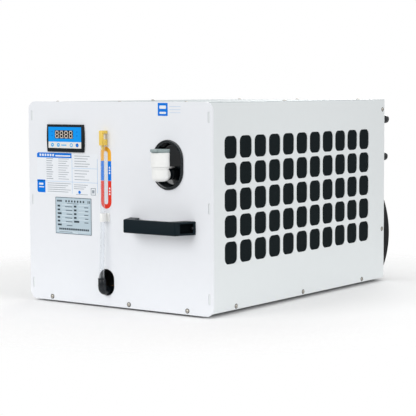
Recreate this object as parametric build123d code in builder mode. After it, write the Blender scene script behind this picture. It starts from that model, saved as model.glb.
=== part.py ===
from build123d import *
from math import asin, cos, pi, radians, sin, sqrt, tan
import os

os.makedirs("parts", exist_ok=True)

# A bench-top recirculating water chiller: a sheet steel case with a front panel that overhangs it,
# a controller, a filler, a level tube, a handle and grille sides.
# Millimetres, +Z up, +X to the right and the front panel facing -Y.
# The origin is on the standing surface, under the middle of the object without its mains lead.

# How many flats stand for a round section
large_sides = 24
hexagon = 6
small_sides = 16
pipe_sides = 12
cord_sides = 6
end_chords = 10

# Case
panel_width = 484.0
panel_height = 420.0
panel_thickness = 2.5
panel_corner = 18.0
side_overhang = 10.0
bottom_overhang = 4.0
top_overhang = 1.0
case_depth = 692.0
foot_height = 8.0
sheet = 1.2
flange = 16.0
sheet_fit = 0.1

# Slots of the front panel, and the tabs of the side panels that hook into them
tab_pitch = 177.7
tab_lowest = 38.6
tab_height = 20.0
tab_width = 4.2
tab_clearance = 0.4
tab_recess = 0.6
tab_outset = 1.0

# Grille of punched holes in the sides, counted along the case and up it
grille_columns = 11
grille_rows = 5
exhaust_columns = 4
grille_pitch = 52.5
hole_width = 42.5
hole_height = 45.0
hole_corner = 12.0
grille_first = 73.5
grille_top = 333.6
filter_thickness = 4.0
filter_margin = 9.0

# Feet and case screws
foot_radius = 15.0
foot_inset_x = 48.0
foot_inset_y = 60.0
screw_sides = 8
screw_head_radius = 4.0
screw_head_height = 2.2
screw_taper = 22.0
side_screw_height = 14.5
side_screws = (91.0, 341.0, 591.0)
edge_screw_inset = 9.0
edge_screws = (122.5, 400.0)
front_screw_height = 11.5
front_screws = (-180.0, 29.0, 178.0)
top_screw_spacing = 169.0
top_screw_inset = 12.0
brace_screw_x = 180.0
brace_depth = 348.0
brace_width = 40.0
brace_height = 14.0
rail_width = 20.0

# Handle
handle_x = 116.5
handle_z = 177.0
handle_length = 167.0
grip_length = 129.0
handle_standoff = 44.0
handle_height = 27.0
grip_thickness = 10.0
handle_foot_length = 24.0
pocket_height = 19.0
pocket_depth = 8.0
pocket_start = 0.10
pocket_end = 0.74
handle_rounding = 1.4
grip_corner = 3.0
finger_corner = 6.0
handle_screw_radius = 3.4

# Temperature controller
controller_x = -136.0
controller_z = 347.5
bezel_width = 100.0
bezel_bulge = 1.6
bezel_height = 57.5
bezel_thickness = 5.0
bezel_chamfer = 1.5
window_width = 90.8
window_height = 44.0
window_rise = 1.4
window_thickness = 1.2
window_recess = 0.3
window_ledge = 1.6
cutout_inset = 4.8
housing_depth = 52.0
housing_clearance = 0.5
key_radius = 4.0
key_clearance = 0.1
key_proud = 0.3
key_travel = 0.5
key_back = 2.0
notch_margin = 1.0
key_height = 333.5
key_places = (-170.2, -153.8, -117.6, -101.7)

# Level tube in front of the panel, with its clip, saddle and drain elbow
gauge_x = -29.0
tube_radius = 4.5
tube_bore = 3.2
tube_standoff = 9.0
tube_low_standoff = 15.5
saddle_standoff = 11.2
tube_straight = 24.0
tube_top = 335.0
clip_height = 30.0
clip_width = 8.0
clip_leg_width = 11.0
clip_depth = 6.5
clip_standoff = 13.0
clip_top_leg = 6.0
clip_low_leg = 12.0
spigot_length = 9.0
saddle_z = 187.5
saddle_width = 20.0
saddle_height = 17.0
saddle_wall = 1.6
saddle_base = 2.5
saddle_web = 6.0
elbow_radius = 8.0
elbow_z = 36.0
elbow_cut = 7.0
elbow_top = 60.0
tube_socket = 10.0
tube_nut_height = 3.5
tube_nut_radius = 8.4
drain_x = -30.0
drain_z = 52.7
drain_hole_height = 55.5
drain_hole_width = 41.5
fitting_depth = 22.0
fitting_nut_length = 10.0
fitting_nut_radius = 9.5
fitting_radius = 7.0

# Filler in its cup
cup_x = 132.0
cup_z = 299.0
cup_width = 76.0
cup_height = 100.0
cup_rim = 3.0
cup_rim_width = 5.0
cup_depth = 22.0
cup_wall = 2.0
rim_slope = 1.5
cup_fit = 1.0
filler_standoff = 25.0
neck_radius = 15.0
neck_bore = 11.0
neck_bottom = 267.8
neck_chamfer = 5.0
neck_top = 316.0
leg_bore = 7.5
elbow_leg_z = 281.0
elbow_leg_radius = 11.5
elbow_leg_length = 17.0
cap_radius = 18.6
cap_bottom = 296.0
cap_height = 28.6
cap_clearance = 0.6
disc_radius = 19.3
disc_thickness = 5.0
disc_lift = 1.7
disc_lip_width = 14.0
disc_lip = 23.6
stay_thickness = 2.8
stay_ring = 2.4
stay_tip = 3.0
tailpiece_radius = 11.5
tailpiece_inner = 9.5
tailpiece_tail = 24.0

# Rear fittings, switch and cord gland
fitting_x = 206.5
outlet_z = 376.5
inlet_z = 289.0
port_radius = 8.5
port_bore = 6.5
port_nut_radius = 14.0
port_nut_length = 9.0
port_length = 34.0
port_tail = 26.0
port_shoulder = 3.0
cap_reach = 55.0
inlet_cap_reach = 50.0
dust_cap_radius = 10.2
dust_cap_chamfer = 4.0
gland_x = -40.0
gland_z = 78.0
gland_radius = 9.5
gland_length = 24.0
gland_thread_radius = 7.5
gland_nut_length = 14.0
gland_tail = 12.0
switch_x = 60.0
switch_z = 250.0
switch_width = 22.0
switch_height = 30.0
switch_rim = 2.0
switch_body_depth = 24.0
rocker_width = 13.0
rocker_height = 20.0
rocker_tilt = 8.0
rocker_crown = 2.0
rocker_heel = 1.5
rocker_back = 5.0
rocker_axis_depth = 2.0
rocker_swing_gap = 0.8
switch_hollow = 10.0

# Inside: cold side
tank_left = -205.0
tank_width = 250.0
tank_front = 62.0
tank_depth = 160.0
tank_top = 345.0
tank_wall = 1.2
lid_thickness = 2.0
pump_x = 20.0
pump_z = 62.0
pump_radius = 42.0
pump_gap = 30.0
pump_saddle_width = 60.0
pump_saddle_length = 12.0
pump_saddle_top = 40.0
pump_head_length = 40.0
motor_length = 120.0
motor_radius = 38.0
hose_radius = 8.0
pipe_radius = 5.0
hose_level = 140.0
hose_lane = 70.0
supply_lane = 90.0
return_lane = 30.0
return_depth = 653.0
filler_turn = 100.0

# Inside: refrigerant side and fan
condenser_depth = 290.0
condenser_height = 262.0
condenser_core = 30.0
condenser_x = 201.0
condenser_middle = 465.0
condenser_z = 229.0
header_radius = 9.0
header_overlap = 4.0
fan_radius = 118.0
fan_hub_radius = 30.0
fan_hub_length = 24.0
fan_shaft_length = 26.0
blade_chord = 50.0
blade_pitch = 30.0
blade_thickness = 2.5
ring_sides = 16
fan_blades = 5
ring_clearance = 4.0
ring_wall = 1.5
collar_depth = 32.0
bracket_thickness = 2.0
bracket_arm = 14.0
fan_motor_radius = 34.0
fan_motor_length = 45.0
shaft_radius = 4.0
shaft_clearance = 0.08
compressor_x = -140.0
compressor_depth = 590.0
compressor_radius = 62.0
compressor_bottom = 26.0
compressor_top = 210.0
compressor_shoulder = 20.0
shoulder_taper = 45.0
compressor_base = 140.0
base_plate = 2.5
grommet_inset = 14.0
grommet_radius = 10.0
accumulator_radius = 20.0
accumulator_bottom = 62.0
accumulator_top = 205.0
touch_gap = 0.3
exchanger_left = -8.0
exchanger_width = 40.0
exchanger_front = 573.0
exchanger_depth = 76.0
exchanger_top = 205.0
stub_radius = 7.0
stub_length = 14.0
stub_low = 40.0
stub_high = 180.0
stub_inset = 17.0
drier_radius = 14.0
drier_depth = 668.0
drier_z = 60.0
drier_left = 60.0
drier_right = 150.0
discharge_z = 375.0
suction_z = 45.0
plate_depth = 430.0
plate_left = -215.0
plate_width = 150.0
contactor_offset = 30.0
capacitor_offset = 37.5
plate_top = 330.0
contactor_size = (60.0, 50.0, 80.0)
capacitor_radius = 20.0
capacitor_height = 90.0
gear_z = 200.0

# Mains lead
cord_radius = 4.0
hank_x = 184.0
hank_half_width = 44.0
hank_half_height = 106.0
hank_end_radius = 28.0
hank_strands = 3
strand_pitch = 8.3
hank_gap = 8.0
hank_level = 110.0
hank_side_chords = 4
hank_end_chords = 8
tie_height = 9.0
tie_thickness = 1.2
tie_play = 0.5
plug_length = 33.0
plug_width = 30.0
plug_neck_length = 14.0
plug_neck_width = 16.0
pin_length = 19.0
pin_radius = 2.4
pin_pitch = 19.0

# Places that follow from the sizes
case_x = panel_width / 2 - side_overhang
case_bottom = foot_height
panel_bottom = case_bottom - bottom_overhang
panel_top = panel_bottom + panel_height
case_top = panel_top - top_overhang
panel_middle = (panel_bottom + panel_top) / 2
front_reach = filler_standoff + disc_lip
front_y = (front_reach - case_depth - cap_reach) / 2
rear_y = front_y + case_depth
body_front = front_y + panel_thickness
inner_x = case_x - sheet - sheet_fit
inner_rear = rear_y - sheet
tray_top = case_bottom + sheet
cover_bottom = case_top - sheet
grille_last = grille_first + (grille_columns - 1) * grille_pitch
grille_middle = (grille_first + grille_last) / 2
grille_centre_z = grille_top - (grille_rows - 1) * grille_pitch / 2
exhaust_middle = grille_last - (exhaust_columns - 1) * grille_pitch / 2


def depth(distance):
    """The Y of a place this far behind the front panel's face."""
    return front_y + distance


def facing(distance):
    """A plane parallel to the front panel, this far behind its face, with X across and Z up."""
    return Plane.XZ.offset(-depth(distance))


def across(x):
    """A plane parallel to the sides at this X, with Y across and Z up."""
    return Plane.YZ.offset(x)


def level(z):
    """A horizontal plane at this height."""
    return Plane.XY.offset(z)


def grille_hole(chords):
    """One punched hole, with each round corner drawn as this many chords."""
    points = []
    for quarter, (x_sign, z_sign) in enumerate(((1, 1), (-1, 1), (-1, -1), (1, -1))):
        centre_x = x_sign * (hole_width / 2 - hole_corner)
        centre_z = z_sign * (hole_height / 2 - hole_corner)
        for step in range(chords + 1):
            angle = radians(90 * quarter + 90 * step / chords)
            points.append((centre_x + hole_corner * cos(angle), centre_z + hole_corner * sin(angle)))
    Polygon(*points, mode=Mode.SUBTRACT)


def stadium(height, width, mode=Mode.ADD):
    """An upright shape with two half-round ends, each drawn as a row of chords."""
    radius = width / 2
    rise = (height - width) / 2
    points = []
    for step in range(end_chords + 1):
        angle = pi * step / end_chords
        points.append((radius * cos(angle), rise + radius * sin(angle)))
    for step in range(end_chords + 1):
        angle = pi + pi * step / end_chords
        points.append((radius * cos(angle), -rise + radius * sin(angle)))
    Polygon(*points, mode=mode)


def arc_radii(points):
    """The largest arc at each corner of a route: 0.45 of its shorter run over the tangent of half the turn."""
    radii = []
    for before, corner, after in zip(points, points[1:], points[2:]):
        into = Vector(*corner) - Vector(*before)
        out = Vector(*after) - Vector(*corner)
        half_turn = radians(into.get_angle(out) / 2)
        radii.append(0.45 * min(into.length, out.length) / tan(half_turn))
    return radii


# Front panel: a rounded plate with its cut-outs
with BuildPart() as front_panel:
    with BuildSketch(facing(0)):
        with Locations((0, panel_middle)):
            RectangleRounded(panel_width, panel_height, panel_corner)
        with Locations((controller_x, controller_z)):
            Rectangle(window_width - window_ledge, bezel_height - cutout_inset, mode=Mode.SUBTRACT)
        with Locations((cup_x, cup_z)):
            stadium(
                cup_height - 2 * cup_rim_width + 2 * cup_fit,
                cup_width - 2 * cup_rim_width + 2 * cup_fit,
                mode=Mode.SUBTRACT,
            )
        with Locations((drain_x, drain_z)):
            stadium(drain_hole_height, drain_hole_width, mode=Mode.SUBTRACT)
        for side in (-1, 1):
            for row in range(3):
                with Locations((side * (case_x - sheet / 2 + tab_outset), tab_lowest + row * tab_pitch)):
                    Rectangle(
                        tab_width + 2 * tab_clearance,
                        tab_height + 2 * tab_clearance,
                        mode=Mode.SUBTRACT,
                    )
    extrude(amount=-panel_thickness)
front_panel.part.label = "front_panel"
export_step(front_panel.part, "parts/front_panel.step")

# Base tray: a floor with upturned flanges all round
tray_length = inner_rear - sheet_fit - body_front
tray_middle = (inner_rear - sheet_fit + body_front) / 2
with BuildPart() as base_tray:
    with BuildSketch(level(case_bottom)):
        with Locations((0, tray_middle)):
            Rectangle(2 * inner_x, tray_length)
    extrude(amount=sheet)
    with BuildSketch(level(tray_top)):
        with Locations((0, tray_middle)):
            Rectangle(2 * inner_x, tray_length)
            Rectangle(2 * (inner_x - sheet), tray_length - 2 * sheet, mode=Mode.SUBTRACT)
    extrude(amount=flange)
base_tray.part.label = "base_tray"
export_step(base_tray.part, "parts/base_tray.step")


def side_sheet(side, columns, middle, chords):
    """A side panel with its punched field, top return and hooks. side is 1 on the right, -1 on the left."""
    with BuildPart() as panel:
        with BuildSketch(across(side * case_x)):
            with Locations(((body_front + rear_y) / 2, (case_bottom + cover_bottom) / 2)):
                Rectangle(rear_y - body_front, cover_bottom - case_bottom)
            with Locations((depth(middle), grille_centre_z)):
                with GridLocations(grille_pitch, grille_pitch, columns, grille_rows):
                    grille_hole(chords)
        extrude(amount=-side * sheet)
        with BuildSketch(level(cover_bottom)):
            with Locations((side * (case_x - flange / 2), (body_front + rear_y) / 2)):
                Rectangle(flange, rear_y - body_front - 2 * flange)
        extrude(amount=-sheet)
        for row in range(3):
            with BuildSketch(facing(tab_recess)):
                with Locations((side * (case_x - sheet / 2 + tab_outset), tab_lowest + row * tab_pitch)):
                    Rectangle(tab_width, tab_height)
            extrude(amount=-(panel_thickness - tab_recess + sheet))
    return panel


# Side panels: the right one is a full grille, the left one has the exhaust field
right_side_panel = side_sheet(1, grille_columns, grille_middle, chords=2)
right_side_panel.part.label = "right_side_panel"
export_step(right_side_panel.part, "parts/right_side_panel.step")

left_side_panel = side_sheet(-1, exhaust_columns, exhaust_middle, chords=1)
left_side_panel.part.label = "left_side_panel"
export_step(left_side_panel.part, "parts/left_side_panel.step")

# Dust filter behind the grille of the right side, where the air is drawn in
with BuildPart() as dust_filter:
    with BuildSketch(across(case_x - sheet)):
        with Locations((depth(grille_middle), grille_centre_z)):
            Rectangle(grille_columns * grille_pitch + filter_margin, grille_rows * grille_pitch + filter_margin)
    extrude(amount=-filter_thickness)
dust_filter.part.label = "dust_filter"
export_step(dust_filter.part, "parts/dust_filter.step")

# Top cover: a flat sheet that rests on the returns of the side panels
with BuildPart() as top_cover:
    with BuildSketch(level(case_top)):
        with Locations((0, (body_front + rear_y) / 2)):
            Rectangle(2 * case_x, rear_y - body_front)
    extrude(amount=-sheet)
top_cover.part.label = "top_cover"
export_step(top_cover.part, "parts/top_cover.step")

# Braces under the cover, one at the front and one in the middle, with ends that step under the returns
with BuildPart() as top_braces:
    for near, width in ((panel_thickness, rail_width), (brace_depth - brace_width / 2, brace_width)):
        with BuildSketch(facing(near)):
            with Locations((0, cover_bottom - sheet / 2)):
                Rectangle(2 * (inner_x - flange), sheet)
            for side in (-1, 1):
                with Locations((side * (inner_x - flange - sheet / 2), cover_bottom - sheet - sheet_fit / 2)):
                    Rectangle(sheet, 2 * sheet + sheet_fit)
                with Locations((side * (inner_x - flange / 2 - sheet / 2), cover_bottom - 1.5 * sheet - sheet_fit)):
                    Rectangle(flange + sheet, sheet)
        extrude(amount=-width)
        with BuildSketch(facing(near)):
            with Locations((0, cover_bottom - sheet - brace_height / 2)):
                Rectangle(2 * (inner_x - flange - sheet), brace_height)
        extrude(amount=-sheet)
top_braces.part.label = "top_braces"
export_step(top_braces.part, "parts/top_braces.step")

# Rear panel: inside the side panels, with forward flanges and its cut-outs
rear_height = cover_bottom - sheet_fit - tray_top
rear_middle = (cover_bottom - sheet_fit + tray_top) / 2
with BuildPart() as rear_panel:
    with BuildSketch(facing(case_depth)):
        with Locations((0, rear_middle)):
            Rectangle(2 * inner_x, rear_height)
        with Locations((fitting_x, outlet_z), (fitting_x, inlet_z)):
            RegularPolygon(port_radius + sheet_fit, small_sides, mode=Mode.SUBTRACT)
        with Locations((gland_x, gland_z)):
            RegularPolygon(gland_thread_radius + sheet_fit, small_sides, mode=Mode.SUBTRACT)
        with Locations((switch_x, switch_z)):
            Rectangle(
                switch_width - 2 * switch_rim + sheet_fit,
                switch_height - 2 * switch_rim + sheet_fit,
                mode=Mode.SUBTRACT,
            )
    extrude(amount=sheet)
    with BuildSketch(facing(case_depth - sheet)):
        for side in (-1, 1):
            with Locations((side * (inner_x - sheet / 2), rear_middle + flange / 2)):
                Rectangle(sheet, rear_height - 2 * flange)
        with Locations((0, cover_bottom - sheet_fit - sheet / 2)):
            Rectangle(2 * (inner_x - flange - sheet), sheet)
    extrude(amount=flange)
rear_panel.part.label = "rear_panel"
export_step(rear_panel.part, "parts/rear_panel.step")

# Feet under the tray
with BuildPart() as rubber_feet:
    with BuildSketch(level(0)):
        with Locations((0, depth(case_depth / 2))):
            with GridLocations(2 * (case_x - foot_inset_x), case_depth - 2 * foot_inset_y, 2, 2):
                RegularPolygon(foot_radius, small_sides)
    extrude(amount=foot_height)
rubber_feet.part.label = "rubber_feet"
export_step(rubber_feet.part, "parts/rubber_feet.step")

# Pan-head screws of the case, all alike
with BuildPart() as panel_screws:
    with BuildSketch(facing(0)):
        with Locations(*[(x, front_screw_height) for x in front_screws]):
            RegularPolygon(screw_head_radius, screw_sides)
    extrude(amount=screw_head_height, taper=screw_taper)
    with BuildSketch(level(case_top)):
        with Locations((0, depth(case_depth / 2))):
            with GridLocations(top_screw_spacing, case_depth - 2 * top_screw_inset, 3, 2):
                RegularPolygon(screw_head_radius, screw_sides)
        with Locations((-brace_screw_x, depth(brace_depth)), (brace_screw_x, depth(brace_depth))):
            RegularPolygon(screw_head_radius, screw_sides)
    extrude(amount=screw_head_height, taper=screw_taper)
    for side in (-1, 1):
        with BuildSketch(across(side * case_x)):
            with Locations(*[(depth(d), side_screw_height) for d in side_screws]):
                RegularPolygon(screw_head_radius, screw_sides)
            with Locations(*[(rear_y - edge_screw_inset, z) for z in edge_screws]):
                RegularPolygon(screw_head_radius, screw_sides)
        extrude(amount=side * screw_head_height, taper=screw_taper)
panel_screws.part.label = "panel_screws"
export_step(panel_screws.part, "parts/panel_screws.step")

# Handle: a moulded bridge with slanting legs, and a pocket in the outside of each leg for its screw
slant = (handle_length - grip_length) / 2 / handle_standoff
grip_inside = handle_length / 2 - handle_foot_length - slant * (handle_standoff - grip_thickness)
with BuildPart() as handle:
    with BuildSketch(level(handle_z - handle_height / 2)):
        with BuildLine():
            Polyline(
                (handle_x - handle_length / 2, front_y),
                (handle_x - grip_length / 2, front_y - handle_standoff),
                (handle_x + grip_length / 2, front_y - handle_standoff),
                (handle_x + handle_length / 2, front_y),
                (handle_x + handle_length / 2 - handle_foot_length, front_y),
                (handle_x + grip_inside, front_y - handle_standoff + grip_thickness),
                (handle_x - grip_inside, front_y - handle_standoff + grip_thickness),
                (handle_x - handle_length / 2 + handle_foot_length, front_y),
                close=True,
            )
        make_face()
    extrude(amount=handle_height)
    fillet(handle.edges().filter_by(Axis.Z).group_by(Axis.Y)[1], radius=finger_corner)
    fillet(handle.edges().filter_by(Axis.Z).group_by(Axis.Y)[0], radius=grip_corner)
    chamfer(handle.faces().filter_by(Axis.Z).edges().filter_by(Axis.X).group_by(Axis.Y)[0], handle_rounding)
    with BuildSketch(level(handle_z - pocket_height / 2)):
        for side in (-1, 1):
            near = handle_length / 2 - slant * handle_standoff * pocket_start
            far = handle_length / 2 - slant * handle_standoff * pocket_end
            with BuildLine():
                Polyline(
                    (handle_x + side * (near + pocket_depth), front_y - handle_standoff * pocket_start),
                    (handle_x + side * (near - pocket_depth), front_y - handle_standoff * pocket_start),
                    (handle_x + side * (far - pocket_depth), front_y - handle_standoff * pocket_end),
                    (handle_x + side * (far + pocket_depth), front_y - handle_standoff * pocket_end),
                    close=True,
                )
            make_face()
    extrude(amount=pocket_height, mode=Mode.SUBTRACT)
handle.part.label = "handle"
export_step(handle.part, "parts/handle.step")

# Handle screws, each on the floor of its pocket
handle_screw_x = handle_length / 2 - slant * handle_standoff * pocket_start - pocket_depth / 2
with BuildPart() as handle_screws:
    with BuildSketch(facing(-handle_standoff * pocket_start)):
        with Locations((handle_x - handle_screw_x, handle_z), (handle_x + handle_screw_x, handle_z)):
            RegularPolygon(handle_screw_radius, screw_sides)
    extrude(amount=screw_head_height, taper=screw_taper)
handle_screws.part.label = "handle_screws"
export_step(handle_screws.part, "parts/handle_screws.step")

# Controller: bezel with sides that bulge a little
window_z = controller_z + window_rise
window_back = bezel_thickness - window_recess - window_thickness
with BuildPart() as controller_bezel:
    with BuildSketch(facing(0)):
        with BuildLine():
            left = controller_x - bezel_width / 2
            right = controller_x + bezel_width / 2
            low = controller_z - bezel_height / 2
            high = controller_z + bezel_height / 2
            Line((left, low), (right, low))
            ThreePointArc((right, low), (right + bezel_bulge, controller_z), (right, high))
            Line((right, high), (left, high))
            ThreePointArc((left, high), (left - bezel_bulge, controller_z), (left, low))
        make_face()
    extrude(amount=bezel_thickness)
    chamfer(controller_bezel.faces().sort_by(Axis.Y)[0].edges(), bezel_chamfer)
    with BuildSketch(facing(-bezel_thickness)):
        with Locations((controller_x, window_z)):
            Rectangle(window_width + 2 * sheet_fit, window_height + 2 * sheet_fit)
    extrude(amount=-(window_recess + window_thickness), mode=Mode.SUBTRACT)
    with BuildSketch(facing(-window_back)):
        with Locations((controller_x, window_z)):
            Rectangle(window_width - 2 * window_ledge, window_height - 2 * window_ledge)
    extrude(amount=-window_back, mode=Mode.SUBTRACT)
controller_bezel.part.label = "controller_bezel"
export_step(controller_bezel.part, "parts/controller_bezel.step")

# Controller window: the printed front plate, with a round hole for each key
with BuildPart() as controller_window:
    with BuildSketch(facing(-window_back)):
        with Locations((controller_x, window_z)):
            Rectangle(window_width, window_height)
        with Locations(*[(x, key_height) for x in key_places]):
            RegularPolygon(key_radius + key_clearance, small_sides, mode=Mode.SUBTRACT)
    extrude(amount=window_thickness)
controller_window.part.label = "controller_window"
export_step(controller_window.part, "parts/controller_window.step")

# Controller housing behind the panel, with a step that leaves room for the keys to move back
notch_width = max(key_places) - min(key_places) + 2 * (key_radius + notch_margin)
notch_depth = key_back + key_travel + key_clearance
with BuildPart() as controller_housing:
    with BuildSketch(facing(-window_back)):
        with Locations((controller_x, window_z)):
            Rectangle(
                window_width - 2 * (window_ledge + housing_clearance),
                window_height - 2 * (window_ledge + housing_clearance),
            )
    extrude(amount=-(window_back + housing_depth))
    with BuildSketch(facing(-window_back)):
        with Locations(((max(key_places) + min(key_places)) / 2, key_height)):
            Rectangle(notch_width, 2 * (key_radius + notch_margin))
    extrude(amount=-notch_depth, mode=Mode.SUBTRACT)
controller_housing.part.label = "controller_housing"
export_step(controller_housing.part, "parts/controller_housing.step")


def controller_key(x):
    """A round key that stands a little proud of the window."""
    with BuildPart() as key:
        with BuildSketch(facing(-(window_back - key_back))):
            with Locations((x, key_height)):
                RegularPolygon(key_radius, small_sides)
        extrude(amount=key_back + window_thickness + key_proud)
    return key


for number, place in enumerate(key_places, start=1):
    one_key = controller_key(place)
    one_key.part.label = f"controller_key_{number}"
    export_step(one_key.part, f"parts/controller_key_{number}.step")

# Clip that holds the top of the level tube: a post, two legs to the panel and a spigot in the tube
with BuildPart() as gauge_clip:
    with BuildSketch(facing(-(clip_standoff - clip_depth / 2))):
        with Locations((gauge_x, tube_top + clip_height / 2)):
            Rectangle(clip_width, clip_height)
    extrude(amount=clip_depth)
    with BuildSketch(facing(0)):
        with Locations((gauge_x, tube_top + clip_low_leg / 2)):
            Rectangle(clip_leg_width, clip_low_leg)
        with Locations((gauge_x, tube_top + clip_height - clip_top_leg / 2)):
            Rectangle(clip_leg_width, clip_top_leg)
    extrude(amount=clip_standoff)
    with BuildSketch(level(tube_top)):
        with Locations((gauge_x, front_y - tube_standoff)):
            RegularPolygon(tube_bore - shaft_clearance, pipe_sides)
    extrude(amount=-spigot_length)
gauge_clip.part.label = "gauge_clip"
export_step(gauge_clip.part, "parts/gauge_clip.step")

# Level tube: clear, a little bowed away from the panel on its way down
tube_route = [
    (gauge_x, front_y - tube_standoff, tube_top),
    (gauge_x, front_y - tube_standoff, tube_top - tube_straight),
    (gauge_x, front_y - saddle_standoff, saddle_z + tube_straight / 2),
    (gauge_x, front_y - saddle_standoff, saddle_z - tube_straight / 2),
    (gauge_x, front_y - tube_low_standoff, elbow_top + tube_straight / 2),
    (gauge_x, front_y - tube_low_standoff, elbow_top - tube_socket),
]
with BuildPart() as gauge_tube:
    with BuildLine() as tube_line:
        Polyline(*tube_route)
    with BuildSketch(level(tube_top)):
        with Locations((gauge_x, front_y - tube_standoff)):
            RegularPolygon(tube_radius, pipe_sides)
            RegularPolygon(tube_bore, pipe_sides, mode=Mode.SUBTRACT)
    sweep(path=tube_line.line, transition=Transition.RIGHT)
gauge_tube.part.label = "gauge_tube"
export_step(gauge_tube.part, "parts/gauge_tube.step")

# Saddle: a base on the panel, a web and a ring that holds the middle of the tube
with BuildPart() as tube_saddle:
    with BuildSketch(level(saddle_z - saddle_height / 2)):
        with Locations((gauge_x, front_y - saddle_base / 2)):
            Rectangle(saddle_width, saddle_base)
        with Locations((gauge_x, front_y - saddle_standoff / 2)):
            Rectangle(saddle_web, saddle_standoff)
        with Locations((gauge_x, front_y - saddle_standoff)):
            RegularPolygon(tube_radius + shaft_clearance + saddle_wall, pipe_sides)
            RegularPolygon(tube_radius + shaft_clearance, pipe_sides, mode=Mode.SUBTRACT)
    extrude(amount=saddle_height)
tube_saddle.part.label = "tube_saddle"
export_step(tube_saddle.part, "parts/tube_saddle.step")

# Drain elbow: from the bottom of the tube back through the cut-out
elbow_y = front_y - tube_low_standoff
with BuildPart() as drain_elbow:
    with BuildLine() as elbow_line:
        Polyline(
            (gauge_x, elbow_y, elbow_top),
            (gauge_x, elbow_y, elbow_z + elbow_cut),
            (gauge_x, elbow_y + elbow_cut, elbow_z),
            (gauge_x, depth(fitting_depth), elbow_z),
        )
    with BuildSketch(level(elbow_top)):
        with Locations((gauge_x, elbow_y)):
            RegularPolygon(elbow_radius, pipe_sides)
    sweep(path=elbow_line.line, transition=Transition.RIGHT)
    with BuildSketch(level(elbow_top)):
        with Locations((gauge_x, elbow_y)):
            RegularPolygon(tube_radius + shaft_clearance, pipe_sides)
    extrude(amount=-tube_socket, mode=Mode.SUBTRACT)
drain_elbow.part.label = "drain_elbow"
export_step(drain_elbow.part, "parts/drain_elbow.step")

# Nut that grips the tube on top of the elbow
with BuildPart() as tube_nut:
    with BuildSketch(level(elbow_top)):
        with Locations((gauge_x, elbow_y)):
            RegularPolygon(tube_nut_radius, pipe_sides)
            RegularPolygon(tube_radius + shaft_clearance, pipe_sides, mode=Mode.SUBTRACT)
    extrude(amount=tube_nut_height)
tube_nut.part.label = "tube_nut"
export_step(tube_nut.part, "parts/tube_nut.step")

# Brass fitting between the elbow and the tank
with BuildPart() as drain_fitting:
    with BuildSketch(facing(fitting_depth)):
        with Locations((gauge_x, elbow_z)):
            RegularPolygon(fitting_nut_radius, hexagon)
    extrude(amount=-fitting_nut_length)
    with BuildSketch(facing(fitting_depth + fitting_nut_length)):
        with Locations((gauge_x, elbow_z)):
            RegularPolygon(fitting_radius, pipe_sides)
    extrude(amount=-(tank_front - fitting_depth - fitting_nut_length))
drain_fitting.part.label = "drain_fitting"
export_step(drain_fitting.part, "parts/drain_fitting.step")

# Filler cup: a rim on the panel and a dish behind it
dish_height = cup_height - 2 * cup_rim_width
dish_width = cup_width - 2 * cup_rim_width
with BuildPart() as filler_cup:
    with BuildSketch(facing(0)):
        with Locations((cup_x, cup_z)):
            stadium(cup_height, cup_width)
    extrude(amount=cup_rim)
    chamfer(filler_cup.faces().sort_by(Axis.Y)[0].edges(), rim_slope)
    with BuildSketch(facing(0)):
        with Locations((cup_x, cup_z)):
            stadium(dish_height, dish_width)
    extrude(amount=-cup_depth)
    with BuildSketch(facing(-cup_rim)):
        with Locations((cup_x, cup_z)):
            stadium(dish_height - 2 * cup_wall, dish_width - 2 * cup_wall)
    extrude(amount=-(cup_depth + cup_rim - cup_wall), mode=Mode.SUBTRACT)
    with BuildSketch(facing(cup_depth)):
        with Locations((cup_x, elbow_leg_z)):
            RegularPolygon(tailpiece_inner + shaft_clearance, small_sides)
    extrude(amount=cup_wall, mode=Mode.SUBTRACT)
filler_cup.part.label = "filler_cup"
export_step(filler_cup.part, "parts/filler_cup.step")

# Filler elbow: the white neck and its leg to the rear
filler_y = front_y - filler_standoff
leg_end = filler_standoff - elbow_leg_length
with BuildPart() as filler_elbow:
    with BuildSketch(level(neck_bottom)):
        with Locations((cup_x, filler_y)):
            RegularPolygon(neck_radius, large_sides)
    extrude(amount=neck_top - neck_bottom)
    chamfer(filler_elbow.faces().sort_by(Axis.Z)[0].edges(), neck_chamfer)
    with BuildSketch(facing(-filler_standoff)):
        with Locations((cup_x, elbow_leg_z)):
            RegularPolygon(elbow_leg_radius, small_sides)
    extrude(amount=-elbow_leg_length)
    with BuildSketch(level(neck_top)):
        with Locations((cup_x, filler_y)):
            RegularPolygon(neck_bore, small_sides)
    extrude(amount=-(neck_top - elbow_leg_z + leg_bore), mode=Mode.SUBTRACT)
    with BuildSketch(facing(-leg_end)):
        with Locations((cup_x, elbow_leg_z)):
            RegularPolygon(leg_bore, small_sides)
    extrude(amount=elbow_leg_length, mode=Mode.SUBTRACT)
filler_elbow.part.label = "filler_elbow"
export_step(filler_elbow.part, "parts/filler_elbow.step")

# Tailpiece: the black tube that carries the filler on the cup's floor
with BuildPart() as filler_tailpiece:
    with BuildSketch(facing(-leg_end)):
        with Locations((cup_x, elbow_leg_z)):
            RegularPolygon(tailpiece_radius, small_sides)
    extrude(amount=-(leg_end + cup_depth - cup_wall))
    with BuildSketch(facing(cup_depth - cup_wall)):
        with Locations((cup_x, elbow_leg_z)):
            RegularPolygon(tailpiece_inner, small_sides)
    extrude(amount=-(cup_wall + tailpiece_tail))
    with BuildSketch(facing(-leg_end)):
        with Locations((cup_x, elbow_leg_z)):
            RegularPolygon(leg_bore, small_sides)
    extrude(amount=-(leg_end + cup_depth + tailpiece_tail), mode=Mode.SUBTRACT)
filler_tailpiece.part.label = "filler_tailpiece"
export_step(filler_tailpiece.part, "parts/filler_tailpiece.step")

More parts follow.
